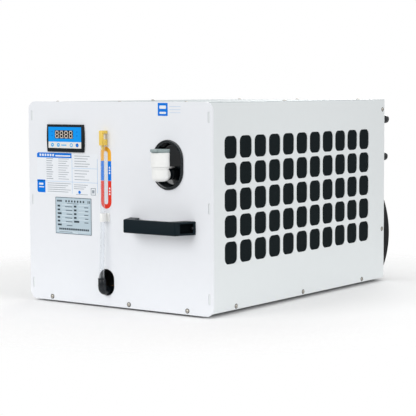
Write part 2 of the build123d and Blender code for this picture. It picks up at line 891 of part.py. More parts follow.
# Stay: a ring under the cap, with a tapered web back to the cup's floor
stay_bottom = cap_bottom - touch_gap - stay_thickness
with BuildPart() as filler_stay:
    with BuildSketch(level(stay_bottom)):
        with Locations((cup_x, filler_y)):
            RegularPolygon(neck_radius + shaft_clearance + stay_ring, large_sides)
        with BuildLine():
            Polyline(
                (cup_x - neck_radius, filler_y),
                (cup_x + neck_radius, filler_y),
                (cup_x + stay_tip, depth(cup_depth - cup_wall)),
                (cup_x - stay_tip, depth(cup_depth - cup_wall)),
                close=True,
            )
        make_face()
        with Locations((cup_x, filler_y)):
            RegularPolygon(neck_radius + shaft_clearance, large_sides, mode=Mode.SUBTRACT)
    extrude(amount=stay_thickness)
filler_stay.part.label = "filler_stay"
export_step(filler_stay.part, "parts/filler_stay.step")

# Filler cap over the neck, and the disc with a finger lip on top of it
with BuildPart() as filler_cap:
    with BuildSketch(level(cap_bottom)):
        with Locations((cup_x, filler_y)):
            RegularPolygon(cap_radius, large_sides)
    extrude(amount=cap_height)
    with BuildSketch(level(cap_bottom)):
        with Locations((cup_x, filler_y)):
            RegularPolygon(neck_radius + cap_clearance, large_sides)
    extrude(amount=neck_top - cap_bottom, mode=Mode.SUBTRACT)
filler_cap.part.label = "filler_cap"
export_step(filler_cap.part, "parts/filler_cap.step")

cap_top = cap_bottom + cap_height
with BuildPart() as cap_disc:
    with BuildSketch(level(cap_top)):
        with Locations((cup_x, filler_y)):
            RegularPolygon(disc_radius - disc_lift, large_sides)
    extrude(amount=disc_lift)
    with BuildSketch(level(cap_top + disc_lift)):
        with Locations((cup_x, filler_y)):
            RegularPolygon(disc_radius, large_sides)
        with Locations((cup_x, filler_y - disc_lip / 2)):
            Rectangle(disc_lip_width, disc_lip)
    extrude(amount=disc_thickness)
cap_disc.part.label = "cap_disc"
export_step(cap_disc.part, "parts/cap_disc.step")


# Ports through the rear panel, each with a nut outside, a shoulder inside and a tail for a hose
with BuildPart() as rear_fittings:
    for height in (outlet_z, inlet_z):
        with BuildSketch(facing(case_depth)):
            with Locations((fitting_x, height)):
                RegularPolygon(port_nut_radius, hexagon)
        extrude(amount=-port_nut_length)
        with BuildSketch(facing(case_depth + port_length)):
            with Locations((fitting_x, height)):
                RegularPolygon(port_radius, small_sides)
        extrude(amount=port_length + port_tail)
        with BuildSketch(facing(case_depth - sheet)):
            with Locations((fitting_x, height)):
                RegularPolygon(port_nut_radius, hexagon)
        extrude(amount=port_shoulder)
        with BuildSketch(facing(case_depth + port_length)):
            with Locations((fitting_x, height)):
                RegularPolygon(port_bore, pipe_sides)
        extrude(amount=port_length, mode=Mode.SUBTRACT)
rear_fittings.part.label = "rear_fittings"
export_step(rear_fittings.part, "parts/rear_fittings.step")


def dust_cap(z, reach):
    """A push-on cap over a port, closed at its outer end."""
    with BuildPart() as cap:
        with BuildSketch(facing(case_depth + port_nut_length)):
            with Locations((fitting_x, z)):
                RegularPolygon(dust_cap_radius, small_sides)
        extrude(amount=-(reach - port_nut_length))
        chamfer(cap.faces().sort_by(Axis.Y)[-1].edges(), dust_cap_chamfer)
        with BuildSketch(facing(case_depth + port_nut_length)):
            with Locations((fitting_x, z)):
                RegularPolygon(port_radius + shaft_clearance, small_sides)
        extrude(amount=-(port_length - port_nut_length), mode=Mode.SUBTRACT)
    return cap


for label, height, reach in (("outlet_cap", outlet_z, cap_reach), ("inlet_cap", inlet_z, inlet_cap_reach)):
    cover = dust_cap(height, reach)
    cover.part.label = label
    export_step(cover.part, f"parts/{label}.step")

# Cord gland in the rear panel
with BuildPart() as cord_gland:
    with BuildSketch(facing(case_depth)):
        with Locations((gland_x, gland_z)):
            RegularPolygon(gland_radius, pipe_sides)
    extrude(amount=-gland_nut_length)
    with BuildSketch(facing(case_depth + gland_nut_length)):
        with Locations((gland_x, gland_z)):
            RegularPolygon(gland_thread_radius, small_sides)
    extrude(amount=-(gland_length - gland_nut_length))
    with BuildSketch(facing(case_depth)):
        with Locations((gland_x, gland_z)):
            RegularPolygon(gland_thread_radius, small_sides)
    extrude(amount=gland_tail)
cord_gland.part.label = "cord_gland"
export_step(cord_gland.part, "parts/cord_gland.step")

# Power switch: a housing clipped into the rear panel
hollow_width = rocker_width + 2 * shaft_clearance
hollow_height = rocker_height + 2 * rocker_swing_gap
with BuildPart() as switch_housing:
    with BuildSketch(facing(case_depth)):
        with Locations((switch_x, switch_z)):
            Rectangle(switch_width, switch_height)
    extrude(amount=-switch_rim)
    with BuildSketch(facing(case_depth)):
        with Locations((switch_x, switch_z)):
            Rectangle(switch_width - 2 * switch_rim, switch_height - 2 * switch_rim)
    extrude(amount=switch_body_depth)
    with BuildSketch(facing(case_depth + switch_rim)):
        with Locations((switch_x, switch_z)):
            Rectangle(hollow_width, hollow_height)
    extrude(amount=switch_hollow, mode=Mode.SUBTRACT)
switch_housing.part.label = "switch_housing"
export_step(switch_housing.part, "parts/switch_housing.step")

# Rocker, drawn with its upper half pressed flush; it turns about a level axis at the rim
rocker_y = rear_y + switch_rim - rocker_axis_depth
rocker_lean = radians(rocker_tilt)
rocker_rise = rocker_crown + rocker_height / 2 * tan(rocker_lean)
rocker_plane = Plane(
    origin=(switch_x - rocker_width / 2, rocker_y, switch_z),
    x_dir=(0, cos(rocker_lean), sin(rocker_lean)),
    z_dir=(1, 0, 0),
)
with BuildPart() as switch_rocker:
    with BuildSketch(rocker_plane):
        with BuildLine():
            Polyline(
                (rocker_crown, 0),
                (rocker_rise, rocker_height / 2),
                (-rocker_heel, rocker_height / 2),
                (-rocker_back, rocker_height / 4),
                (-rocker_back, -rocker_height / 4),
                (-rocker_heel, -rocker_height / 2),
                (rocker_rise, -rocker_height / 2),
                close=True,
            )
        make_face()
    extrude(amount=rocker_width)
switch_rocker.part.label = "switch_rocker"
export_step(switch_rocker.part, "parts/switch_rocker.step")

# Water tank, open at the top, and its lid
tank_x = tank_left + tank_width / 2
tank_y = depth(tank_front + tank_depth / 2)
with BuildPart() as water_tank:
    with BuildSketch(level(tray_top)):
        with Locations((tank_x, tank_y)):
            Rectangle(tank_width, tank_depth)
    extrude(amount=tank_top - tray_top)
    with BuildSketch(level(tray_top + tank_wall)):
        with Locations((tank_x, tank_y)):
            Rectangle(tank_width - 2 * tank_wall, tank_depth - 2 * tank_wall)
    extrude(amount=tank_top - tray_top, mode=Mode.SUBTRACT)
water_tank.part.label = "water_tank"
export_step(water_tank.part, "parts/water_tank.step")

with BuildPart() as tank_lid:
    with BuildSketch(level(tank_top)):
        with Locations((tank_x, tank_y)):
            Rectangle(tank_width, tank_depth)
    extrude(amount=lid_thickness)
tank_lid.part.label = "tank_lid"
export_step(tank_lid.part, "parts/tank_lid.step")

# Pump: a head behind the tank and a motor on two moulded feet
pump_start = tank_front + tank_depth + pump_gap
motor_start = pump_start + pump_head_length
motor_end = motor_start + motor_length
with BuildPart() as pump_head:
    with BuildSketch(facing(pump_start)):
        with Locations((pump_x, pump_z)):
            RegularPolygon(pump_radius, small_sides)
    extrude(amount=-pump_head_length)
pump_head.part.label = "pump_head"
export_step(pump_head.part, "parts/pump_head.step")

with BuildPart() as pump_motor:
    with BuildSketch(facing(motor_start)):
        with Locations((pump_x, pump_z)):
            RegularPolygon(motor_radius, small_sides)
    extrude(amount=-motor_length)
    with BuildSketch(level(tray_top)):
        for foot in (motor_start + 2 * pump_saddle_length, motor_end - 2 * pump_saddle_length):
            with Locations((pump_x, depth(foot))):
                Rectangle(pump_saddle_width, pump_saddle_length)
    extrude(amount=pump_saddle_top - tray_top)
pump_motor.part.label = "pump_motor"
export_step(pump_motor.part, "parts/pump_motor.step")

# Condenser: a finned core between two upright headers
core_face = condenser_x - condenser_core / 2
core_front = condenser_middle - condenser_depth / 2
core_rear = condenser_middle + condenser_depth / 2
core_bottom = condenser_z - condenser_height / 2
core_top = condenser_z + condenser_height / 2
with BuildPart() as condenser:
    with BuildSketch(across(core_face)):
        with Locations((depth(condenser_middle), condenser_z)):
            Rectangle(condenser_depth, condenser_height)
    extrude(amount=condenser_core)
    with BuildSketch(level(core_bottom)):
        with Locations(
            (condenser_x, depth(core_front - header_radius + header_overlap)),
            (condenser_x, depth(core_rear + header_radius - header_overlap)),
        ):
            RegularPolygon(header_radius, pipe_sides)
    extrude(amount=condenser_height)
condenser.part.label = "condenser"
export_step(condenser.part, "parts/condenser.step")

# Fan shroud: a sheet that stands on the tray and carries the condenser, the fan ring and the motor's cross
ring_radius = fan_radius + ring_clearance
with BuildPart() as fan_shroud:
    with BuildSketch(across(core_face)):
        with Locations((depth(condenser_middle), (tray_top + core_top) / 2)):
            Rectangle(condenser_depth, core_top - tray_top)
        with Locations((depth(condenser_middle), condenser_z)):
            RegularPolygon(ring_radius, ring_sides, mode=Mode.SUBTRACT)
    extrude(amount=-sheet)
    with BuildSketch(across(core_face - sheet)):
        with Locations((depth(condenser_middle), condenser_z)):
            RegularPolygon(ring_radius + ring_wall, ring_sides)
            RegularPolygon(ring_radius, ring_sides, mode=Mode.SUBTRACT)
    extrude(amount=-(collar_depth - sheet))
    with BuildSketch(across(core_face - collar_depth)):
        with Locations((depth(condenser_middle), condenser_z)):
            Rectangle(2 * ring_radius, bracket_arm)
            Rectangle(bracket_arm, 2 * ring_radius)
            Circle(shaft_radius + shaft_clearance, mode=Mode.SUBTRACT)
    extrude(amount=-bracket_thickness)
fan_shroud.part.label = "fan_shroud"
export_step(fan_shroud.part, "parts/fan_shroud.step")

motor_face = core_face - collar_depth - bracket_thickness
with BuildPart() as fan_motor:
    with BuildSketch(across(motor_face)):
        with Locations((depth(condenser_middle), condenser_z)):
            RegularPolygon(fan_motor_radius, small_sides)
    extrude(amount=-fan_motor_length)
    with BuildSketch(across(motor_face)):
        with Locations((depth(condenser_middle), condenser_z)):
            Circle(shaft_radius + shaft_clearance)
    extrude(amount=-fan_shaft_length, mode=Mode.SUBTRACT)
fan_motor.part.label = "fan_motor"
export_step(fan_motor.part, "parts/fan_motor.step")

# Fan rotor: a hub on its shaft, with pitched blades
rotor_x = core_face - collar_depth / 2
blade_half = blade_chord * cos(radians(blade_pitch)) / 2
blade_tip = sqrt(fan_radius ** 2 - blade_half ** 2)
blade_root = fan_hub_radius * cos(pi / small_sides) - blade_thickness
with BuildPart() as fan_rotor:
    with BuildSketch(across(rotor_x - fan_hub_length / 2)):
        with Locations((depth(condenser_middle), condenser_z)):
            RegularPolygon(fan_hub_radius, small_sides)
    extrude(amount=fan_hub_length)
    with BuildSketch(across(rotor_x)):
        with Locations((depth(condenser_middle), condenser_z)):
            Circle(shaft_radius)
    extrude(amount=-(rotor_x - motor_face + fan_shaft_length - touch_gap))
    for blade in range(fan_blades):
        turn = 2 * pi * blade / fan_blades
        outward = Vector(0, cos(turn), sin(turn))
        around = Vector(0, -sin(turn), cos(turn))
        pitch = radians(blade_pitch)
        centre = Vector(rotor_x, depth(condenser_middle), condenser_z)
        chord_line = around * cos(pitch) + Vector(1, 0, 0) * sin(pitch)
        with BuildSketch(Plane(origin=centre + outward * blade_root, x_dir=chord_line, z_dir=outward)):
            Rectangle(blade_chord, blade_thickness)
        extrude(amount=blade_tip - blade_root)
fan_rotor.part.label = "fan_rotor"
export_step(fan_rotor.part, "parts/fan_rotor.step")

# Compressor on a base plate with four grommets, and the accumulator beside it
compressor_y = depth(compressor_depth)
grommet_pitch = compressor_base - 2 * grommet_inset
with BuildPart() as compressor:
    with BuildSketch(level(compressor_bottom)):
        with Locations((compressor_x, compressor_y)):
            Rectangle(compressor_base, compressor_base)
    extrude(amount=-base_plate)
    with BuildSketch(level(compressor_bottom)):
        with Locations((compressor_x, compressor_y)):
            RegularPolygon(compressor_radius, small_sides)
    extrude(amount=compressor_top - compressor_shoulder - compressor_bottom)
    with BuildSketch(level(compressor_top - compressor_shoulder)):
        with Locations((compressor_x, compressor_y)):
            RegularPolygon(compressor_radius, small_sides)
    extrude(amount=compressor_shoulder, taper=shoulder_taper)
compressor.part.label = "compressor"
export_step(compressor.part, "parts/compressor.step")

with BuildPart() as compressor_grommets:
    with BuildSketch(level(tray_top)):
        with Locations((compressor_x, compressor_y)):
            with GridLocations(grommet_pitch, grommet_pitch, 2, 2):
                RegularPolygon(grommet_radius, pipe_sides)
    extrude(amount=compressor_bottom - base_plate - tray_top)
compressor_grommets.part.label = "compressor_grommets"
export_step(compressor_grommets.part, "parts/compressor_grommets.step")

accumulator_x = compressor_x + compressor_radius + touch_gap + accumulator_radius
with BuildPart() as accumulator:
    with BuildSketch(level(accumulator_bottom)):
        with Locations((accumulator_x, compressor_y)):
            RegularPolygon(accumulator_radius, pipe_sides)
    extrude(amount=accumulator_top - accumulator_bottom)
accumulator.part.label = "accumulator"
export_step(accumulator.part, "parts/accumulator.step")

# Plate heat exchanger with two refrigerant stubs on the left and two water stubs on the right
exchanger_right = exchanger_left + exchanger_width
stub_front = exchanger_front + stub_inset
stub_rear = exchanger_front + exchanger_depth - stub_inset
with BuildPart() as heat_exchanger:
    with BuildSketch(level(tray_top)):
        with Locations(((exchanger_left + exchanger_right) / 2, depth(exchanger_front + exchanger_depth / 2))):
            Rectangle(exchanger_width, exchanger_depth)
    extrude(amount=exchanger_top - tray_top)
    with BuildSketch(across(exchanger_left - stub_length)):
        with Locations((depth(stub_front), stub_high), (depth(stub_rear), stub_low)):
            RegularPolygon(stub_radius, pipe_sides)
    extrude(amount=stub_length)
    with BuildSketch(across(exchanger_right)):
        with Locations((depth(stub_front), stub_high), (depth(stub_rear), stub_low)):
            RegularPolygon(stub_radius, pipe_sides)
    extrude(amount=stub_length)
heat_exchanger.part.label = "heat_exchanger"
export_step(heat_exchanger.part, "parts/heat_exchanger.step")

# Filter drier in the liquid line behind the condenser
with BuildPart() as filter_drier:
    with BuildSketch(across(drier_left)):
        with Locations((depth(drier_depth), drier_z)):
            RegularPolygon(drier_radius, pipe_sides)
    extrude(amount=drier_right - drier_left)
filter_drier.part.label = "filter_drier"
export_step(filter_drier.part, "parts/filter_drier.step")

# Copper pipes: discharge, liquid line on both sides of the drier, suction, and the accumulator's outlet
header_depth = core_rear + header_radius - header_overlap
refrigerant_routes = [
    [
        (compressor_x, compressor_y, compressor_top),
        (compressor_x, compressor_y, discharge_z),
        (condenser_x, compressor_y, discharge_z),
        (condenser_x, depth(header_depth), discharge_z),
        (condenser_x, depth(header_depth), core_top),
    ],
    [
        (condenser_x, depth(header_depth), core_bottom),
        (condenser_x, depth(header_depth), drier_z),
        (condenser_x, depth(drier_depth), drier_z),
        (drier_right, depth(drier_depth), drier_z),
    ],
    [
        (drier_left, depth(drier_depth), drier_z),
        (accumulator_x, depth(drier_depth), drier_z),
        (accumulator_x, depth(stub_rear), stub_low),
        (exchanger_left - stub_length, depth(stub_rear), stub_low),
    ],
    [
        (exchanger_left - stub_length, compressor_y, stub_high),
        (accumulator_x + accumulator_radius, compressor_y, stub_high),
    ],
    [
        (accumulator_x, compressor_y, accumulator_bottom),
        (accumulator_x, compressor_y, suction_z),
        (compressor_x + compressor_radius, compressor_y, suction_z),
    ],
]
with BuildPart() as refrigerant_pipes:
    for route in refrigerant_routes:
        with BuildLine() as pipe_line:
            Polyline(*route)
        with BuildSketch(Plane(origin=route[0], z_dir=Vector(*route[1]) - Vector(*route[0]))):
            RegularPolygon(pipe_radius, cord_sides)
        sweep(path=pipe_line.line, transition=Transition.RIGHT)
refrigerant_pipes.part.label = "refrigerant_pipes"
export_step(refrigerant_pipes.part, "parts/refrigerant_pipes.step")

# Water hoses: tank to pump, pump to exchanger, exchanger to outlet, inlet to tank
tank_rear = tank_front + tank_depth
tail_end = case_depth - port_tail
water_routes = [
    [
        (pump_x, depth(tank_rear), pump_z),
        (pump_x, depth(pump_start), pump_z),
    ],
    [
        (pump_x, depth(pump_start + pump_head_length / 2), pump_z + pump_radius),
        (pump_x, depth(pump_start + pump_head_length / 2), hose_level),
        (hose_lane, depth(pump_start + pump_head_length / 2), hose_level),
        (hose_lane, depth(stub_front), hose_level),
        (hose_lane, depth(stub_front), stub_high),
        (exchanger_right + stub_length, depth(stub_front), stub_high),
    ],
    [
        (exchanger_right + stub_length, depth(stub_rear), stub_low),
        (supply_lane, depth(stub_rear), stub_low),
        (supply_lane, depth(stub_rear), outlet_z),
        (fitting_x, depth(stub_rear), outlet_z),
        (fitting_x, depth(tail_end), outlet_z),
    ],
    [
        (fitting_x, depth(tail_end), inlet_z),
        (fitting_x, depth(return_depth), inlet_z),
        (return_lane, depth(return_depth), inlet_z),
        (return_lane, depth(tank_rear), inlet_z),
    ],
]
with BuildPart() as water_hoses:
    for route in water_routes:
        with BuildLine() as hose_line:
            Polyline(*route)
        with BuildSketch(Plane(origin=route[0], z_dir=Vector(*route[1]) - Vector(*route[0]))):
            RegularPolygon(hose_radius, cord_sides)
        sweep(path=hose_line.line, transition=Transition.RIGHT)
water_hoses.part.label = "water_hoses"
export_step(water_hoses.part, "parts/water_hoses.step")

# Hose from the filler to the side of the tank
filler_route = [
    (cup_x, depth(cup_depth + tailpiece_tail), elbow_leg_z),
    (cup_x, depth(filler_turn), elbow_leg_z),
    (tank_left + tank_width, depth(filler_turn), elbow_leg_z),
]
with BuildPart() as filler_hose:
    with BuildLine() as filler_line:
        Polyline(*filler_route)
    with BuildSketch(facing(cup_depth + tailpiece_tail)):
        with Locations((cup_x, elbow_leg_z)):
            RegularPolygon(hose_radius, pipe_sides)
    sweep(path=filler_line.line, transition=Transition.RIGHT)
filler_hose.part.label = "filler_hose"
export_step(filler_hose.part, "parts/filler_hose.step")

# Upright plate for the electrical parts, with a foot on the tray
plate_x = plate_left + plate_width / 2
with BuildPart() as electrical_plate:
    with BuildSketch(facing(plate_depth)):
        with Locations((plate_x, (tray_top + plate_top) / 2)):
            Rectangle(plate_width, plate_top - tray_top)
    extrude(amount=-sheet)
    with BuildSketch(level(tray_top)):
        with Locations((plate_x, depth(plate_depth + flange / 2))):
            Rectangle(plate_width, flange)
    extrude(amount=sheet)
electrical_plate.part.label = "electrical_plate"
export_step(electrical_plate.part, "parts/electrical_plate.step")

# Contactor and run capacitor on the front of the plate
with BuildPart() as switchgear:
    with BuildSketch(facing(plate_depth)):
        with Locations((plate_x - contactor_offset, gear_z)):
            Rectangle(contactor_size[0], contactor_size[2])
    extrude(amount=contactor_size[1])
    with BuildSketch(facing(plate_depth)):
        with Locations((plate_x + capacitor_offset, gear_z)):
            RegularPolygon(capacitor_radius, pipe_sides)
    extrude(amount=capacitor_height)
switchgear.part.label = "switchgear"
export_step(switchgear.part, "parts/switchgear.step")

# Mains lead: hand-chosen points, with Y counted from the rear face
lead_points = [
    (-40.0, 24.0, 78.0),
    (-40.0, 46.0, 78.0),
    (-33.0, 67.0, 70.0),
    (-17.0, 83.0, 55.0),
    (6.0, 89.0, 36.0),
    (33.0, 84.0, 18.0),
    (61.0, 70.0, 7.0),
    (88.0, 50.0, 4.5),
    (116.0, 29.0, 4.0),
    (141.0, 14.0, 4.1),
    (168.4, 8.0, 4.0),
]
tail_points = [
    (165.4, 24.6, 212.3),
    (139.0, 27.0, 208.4),
    (116.0, 30.0, 192.0),
    (103.0, 33.0, 168.0),
    (98.0, 36.0, 138.0),
    (98.5, 39.0, 106.0),
    (97.0, 43.0, 76.0),
    (88.0, 47.0, 48.0),
    (70.0, 51.0, 26.0),
    (46.0, 54.0, 17.0),
    (22.0, 55.0, 15.0),
]


def lead(points):
    """A stretch of the lead along rounded corners, with its section's area times its length to compare."""
    route = [(x, rear_y + y, z) for x, y, z in points]
    radii = arc_radii(route)
    with BuildPart() as stretch:
        with BuildLine() as line:
            FilletPolyline(*route, radius=radii)
        with BuildSketch(Plane(origin=route[0], z_dir=Vector(*route[1]) - Vector(*route[0]))):
            RegularPolygon(cord_radius, cord_sides)
        sweep(path=line.wires()[0])
    section = cord_sides / 2 * cord_radius ** 2 * sin(2 * pi / cord_sides)
    length = line.wires()[0].length
    print("arc radii", [round(radius, 1) for radius in radii])
    print("length", round(length, 1), "volume", round(stretch.part.volume), "expected", round(section * length))
    return stretch


power_cord = lead(lead_points)
power_cord.part.label = "power_cord"
export_step(power_cord.part, "parts/power_cord.step")

cord_tail = lead(tail_points)
cord_tail.part.label = "cord_tail"
export_step(cord_tail.part, "parts/cord_tail.step")

# Hank: the outer shape of the coiled lead, standing on one end behind the rear panel
end_rise = hank_half_height - hank_end_radius
side_step = hank_half_width - hank_end_radius
side_centre = (end_rise ** 2 - side_step ** 2) / (2 * side_step)
side_radius = side_centre + hank_half_width
corner_angle = asin(end_rise / (side_radius - hank_end_radius))


def hank_outline(offset, mode=Mode.ADD):
    """The hank's outline, this far outside the middle of its strand, as chords of two ends and two sides."""
    arcs = [
        ((0.0, end_rise), hank_end_radius, corner_angle, pi - corner_angle, hank_end_chords),
        ((side_centre, 0.0), side_radius, pi - corner_angle, pi + corner_angle, hank_side_chords),
        ((0.0, -end_rise), hank_end_radius, pi + corner_angle, 2 * pi - corner_angle, hank_end_chords),
        ((-side_centre, 0.0), side_radius, -corner_angle, corner_angle, hank_side_chords),
    ]
    points = []
    for (centre_x, centre_z), radius, start, stop, chords in arcs:
        for step in range(chords):
            angle = start + (stop - start) * step / chords
            points.append((
                centre_x + (radius + offset) * cos(angle),
                centre_z + (radius + offset) * sin(angle),
            ))
    Polygon(*points, align=None, mode=mode)


hank_near = hank_gap - cord_radius
hank_width = (hank_strands - 1) * strand_pitch + 2 * cord_radius
with BuildPart() as cord_hank:
    with BuildSketch(facing(case_depth + hank_near)):
        with Locations((hank_x, hank_level)):
            hank_outline(cord_radius)
            hank_outline(-cord_radius, mode=Mode.SUBTRACT)
    extrude(amount=-hank_width)
cord_hank.part.label = "cord_hank"
export_step(cord_hank.part, "parts/cord_hank.step")

# Tie round the hidden side of the hank
tie_x = hank_x - hank_half_width
with BuildPart() as hank_tie:
    with BuildSketch(level(hank_level - tie_height / 2)):
        with Locations((tie_x, rear_y + hank_near + hank_width / 2)):
            Rectangle(2 * (cord_radius + tie_play + tie_thickness), hank_width + 2 * tie_thickness)
            Rectangle(2 * (cord_radius + tie_play), hank_width, mode=Mode.SUBTRACT)
    extrude(amount=tie_height)
hank_tie.part.label = "hank_tie"
export_step(hank_tie.part, "parts/hank_tie.step")

# Mains plug on the floor, with two pins
plug_x, plug_offset, plug_z = tail_points[-1]
with BuildPart() as mains_plug:
    with BuildSketch(across(plug_x)):
        with Locations((rear_y + plug_offset, plug_z)):
            Rectangle(plug_neck_width, plug_neck_width)
    extrude(amount=-plug_neck_length)
    with BuildSketch(across(plug_x - plug_neck_length)):
        with Locations((rear_y + plug_offset, plug_z)):
            Rectangle(plug_width, plug_width)
    extrude(amount=-plug_length)
    chamfer(mains_plug.faces().sort_by(Axis.X)[0].edges(), cord_radius)
    with BuildSketch(across(plug_x - plug_neck_length - plug_length)):
        with Locations((rear_y + plug_offset, plug_z)):
            with GridLocations(pin_pitch, 0, 2, 1):
                RegularPolygon(pin_radius, pipe_sides)
    extrude(amount=-pin_length)
mains_plug.part.label = "mains_plug"
export_step(mains_plug.part, "parts/mains_plug.step")
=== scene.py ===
import bpy
import bmesh
from math import asin, cos, pi, radians, sin
from mathutils import Matrix, Vector


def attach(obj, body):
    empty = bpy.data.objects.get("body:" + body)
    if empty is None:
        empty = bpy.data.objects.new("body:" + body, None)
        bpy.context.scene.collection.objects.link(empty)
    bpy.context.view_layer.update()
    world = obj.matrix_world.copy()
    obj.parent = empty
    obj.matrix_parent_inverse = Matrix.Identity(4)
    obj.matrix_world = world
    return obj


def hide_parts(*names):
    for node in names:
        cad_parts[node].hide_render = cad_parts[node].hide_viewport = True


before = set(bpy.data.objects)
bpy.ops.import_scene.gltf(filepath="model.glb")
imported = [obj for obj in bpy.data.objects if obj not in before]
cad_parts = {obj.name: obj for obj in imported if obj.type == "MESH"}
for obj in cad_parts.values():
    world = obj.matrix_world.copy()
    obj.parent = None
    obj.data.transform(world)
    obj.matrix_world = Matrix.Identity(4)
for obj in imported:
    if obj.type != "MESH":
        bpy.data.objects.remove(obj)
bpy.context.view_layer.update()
scene = bpy.context.scene
MM = 0.001
FRONT = -349.2   # the front panel's face, in mm along Y
REAR = 342.8     # the rear panel's face
CASE_X = 232.0   # half the case's width
CASE_LOW, CASE_TOP = 8, 421.8
SHEET = 1.2      # the side sheets' thickness
PANEL_X, PANEL_LOW, PANEL_TOP = 242, 4, 424
PANEL = 2.5      # the front panel's thickness
LEAD_X, LEAD_D, LEAD_Z = -40, 24, 78        # where the lead leaves the gland
HANK_X, HANK_D, HANK_Z = 184.0, 8.0, 110.0  # the hank's middle, where its first turn begins
TURNS, TURN_PITCH = 2.5, 8.3
LEAD_RADIUS = 4.0


def place(x, d, z):
    """A point in metres, from X, the distance behind the front panel's face, and Z, in mm."""
    return Vector((x * MM, (FRONT + d) * MM, z * MM))


# Camera, fitted to the photograph
PHOTO_WIDTH, FOCAL_PIXELS, SENSOR = 416, 1434.51, 36.0
yaw, pitch, roll = 0.630952, 0.082754, -0.004011
look = Vector((-sin(yaw) * cos(pitch), cos(yaw) * cos(pitch), -sin(pitch)))
level_right = Vector((cos(yaw), sin(yaw), 0.0))
level_up = level_right.cross(look)
cam_right = level_right * cos(roll) + level_up * sin(roll)
cam_up = level_up * cos(roll) - level_right * sin(roll)
cam_data = bpy.data.cameras.new("camera")
cam_data.sensor_width = SENSOR
cam_data.lens = FOCAL_PIXELS / PHOTO_WIDTH * SENSOR
cam_data.clip_start, cam_data.clip_end = 0.05, 50.0
camera = bpy.data.objects.new("camera", cam_data)
scene.collection.objects.link(camera)
turn = Matrix((cam_right, cam_up, -look)).transposed().to_4x4()
camera.matrix_world = Matrix.Translation(place(1868.3, -2243.18, 448.6)) @ turn
scene.camera = camera


# Materials: each has its own noise for tone, roughness and bump
def material(name, colour, rough, metal=0.0, scale=60.0, tone=0.06, bump=0.05, coat=0.0,
             stretch=(1, 1, 1), gloss=0.5):
    m = bpy.data.materials.new(name)
    m.use_nodes = True
    nodes, links = m.node_tree.nodes, m.node_tree.links
    shader = nodes["Principled BSDF"]
    shader.inputs["Metallic"].default_value = metal
    shader.inputs["Coat Weight"].default_value = coat
    shader.inputs["Coat Roughness"].default_value = 0.08
    shader.inputs["Specular IOR Level"].default_value = gloss
    where = nodes.new("ShaderNodeTexCoord")
    mapping = nodes.new("ShaderNodeMapping")
    mapping.inputs["Scale"].default_value = stretch
    links.new(where.outputs["Object"], mapping.inputs["Vector"])
    broad = nodes.new("ShaderNodeTexNoise")
    broad.inputs["Scale"].default_value = scale
    broad.inputs["Detail"].default_value = 4.0
    links.new(mapping.outputs["Vector"], broad.inputs["Vector"])
    mix = nodes.new("ShaderNodeMix")
    mix.data_type = "RGBA"
    mix.inputs[6].default_value = (*[c * (1 - tone) for c in colour], 1)
    mix.inputs[7].default_value = (*[min(1.0, c * (1 + tone / 2)) for c in colour], 1)
    links.new(broad.outputs["Fac"], mix.inputs[0])
    links.new(mix.outputs[2], shader.inputs["Base Color"])
    spread = nodes.new("ShaderNodeMapRange")
    spread.inputs["To Min"].default_value = max(0.02, rough - 0.06)
    spread.inputs["To Max"].default_value = min(1.0, rough + 0.06)
    links.new(broad.outputs["Fac"], spread.inputs["Value"])
    links.new(spread.outputs["Result"], shader.inputs["Roughness"])
    if bump:
        fine = nodes.new("ShaderNodeTexNoise")
        fine.inputs["Scale"].default_value = scale * 12
        fine.inputs["Detail"].default_value = 2.0
        links.new(mapping.outputs["Vector"], fine.inputs["Vector"])
        raised = nodes.new("ShaderNodeBump")
        raised.inputs["Strength"].default_value = bump
        raised.inputs["Distance"].default_value = 0.0004
        links.new(fine.outputs["Fac"], raised.inputs["Height"])
        links.new(raised.outputs["Normal"], shader.inputs["Normal"])
    return m


panel_paint = material("panel_paint", (0.83, 0.85, 0.885), 0.42, tone=0.015, bump=0.05)
case_paint = material("case_paint", (0.77, 0.805, 0.815), 0.45, tone=0.015, bump=0.05)
cover_paint = material("cover_paint", (0.58, 0.63, 0.64), 0.5, tone=0.015, bump=0.05, gloss=0.2)
zinc = material("zinc", (0.55, 0.57, 0.58), 0.38, metal=1.0, scale=25, tone=0.15)
rubber = material("rubber", (0.018, 0.018, 0.02), 0.75, bump=0.2, gloss=0.18)
screw_metal = material("screw_metal", (0.50, 0.47, 0.42), 0.32, metal=1.0, scale=300, tone=0.2)
# dark screw metal: the handle's own dark screws, and also the rings of painted shade round the case screws
screw_dark = material("screw_dark", (0.03, 0.03, 0.035), 0.35, metal=0.8, gloss=0.18)
handle_black = material("handle_black", (0.002, 0.009, 0.014), 0.45, bump=0.12, scale=120, gloss=0.14)
bezel_black = material("bezel_black", (0.004, 0.008, 0.011), 0.30, bump=0.05, gloss=0.25)
blue_print = material("blue_print", (0.0, 0.31, 0.88), 0.35, tone=0.04, bump=0.0, gloss=0.15)
white_print = material("white_print", (0.80, 0.81, 0.80), 0.40, tone=0.03, bump=0.0)
cyan_print = material("cyan_print", (0.0, 0.40, 0.84), 0.35, tone=0.05, bump=0.0, gloss=0.15)
deep_blue = material("deep_blue", (0.0, 0.10, 0.60), 0.35, tone=0.05, bump=0.0, gloss=0.15)
display_black = material("display_black", (0.012, 0.010, 0.012), 0.18, bump=0.0, gloss=0.18)
segment_beige = material("segment_beige", (0.80, 0.71, 0.62), 0.4, tone=0.04, bump=0.0)
yellow_plastic = material("yellow_plastic", (0.86, 0.60, 0.10), 0.40, bump=0.06)
white_plastic = material("white_plastic", (0.90, 0.905, 0.89), 0.32, tone=0.02, bump=0.04)
fitting_black = material("fitting_black", (0.006, 0.009, 0.012), 0.18, bump=0.04, gloss=0.4)
cup_gloss = material("cup_gloss", (0.003, 0.007, 0.010), 0.10, coat=0.3, bump=0.01, gloss=0.4)
cap_grey = material("cap_grey", (0.30, 0.37, 0.37), 0.38, bump=0.05)
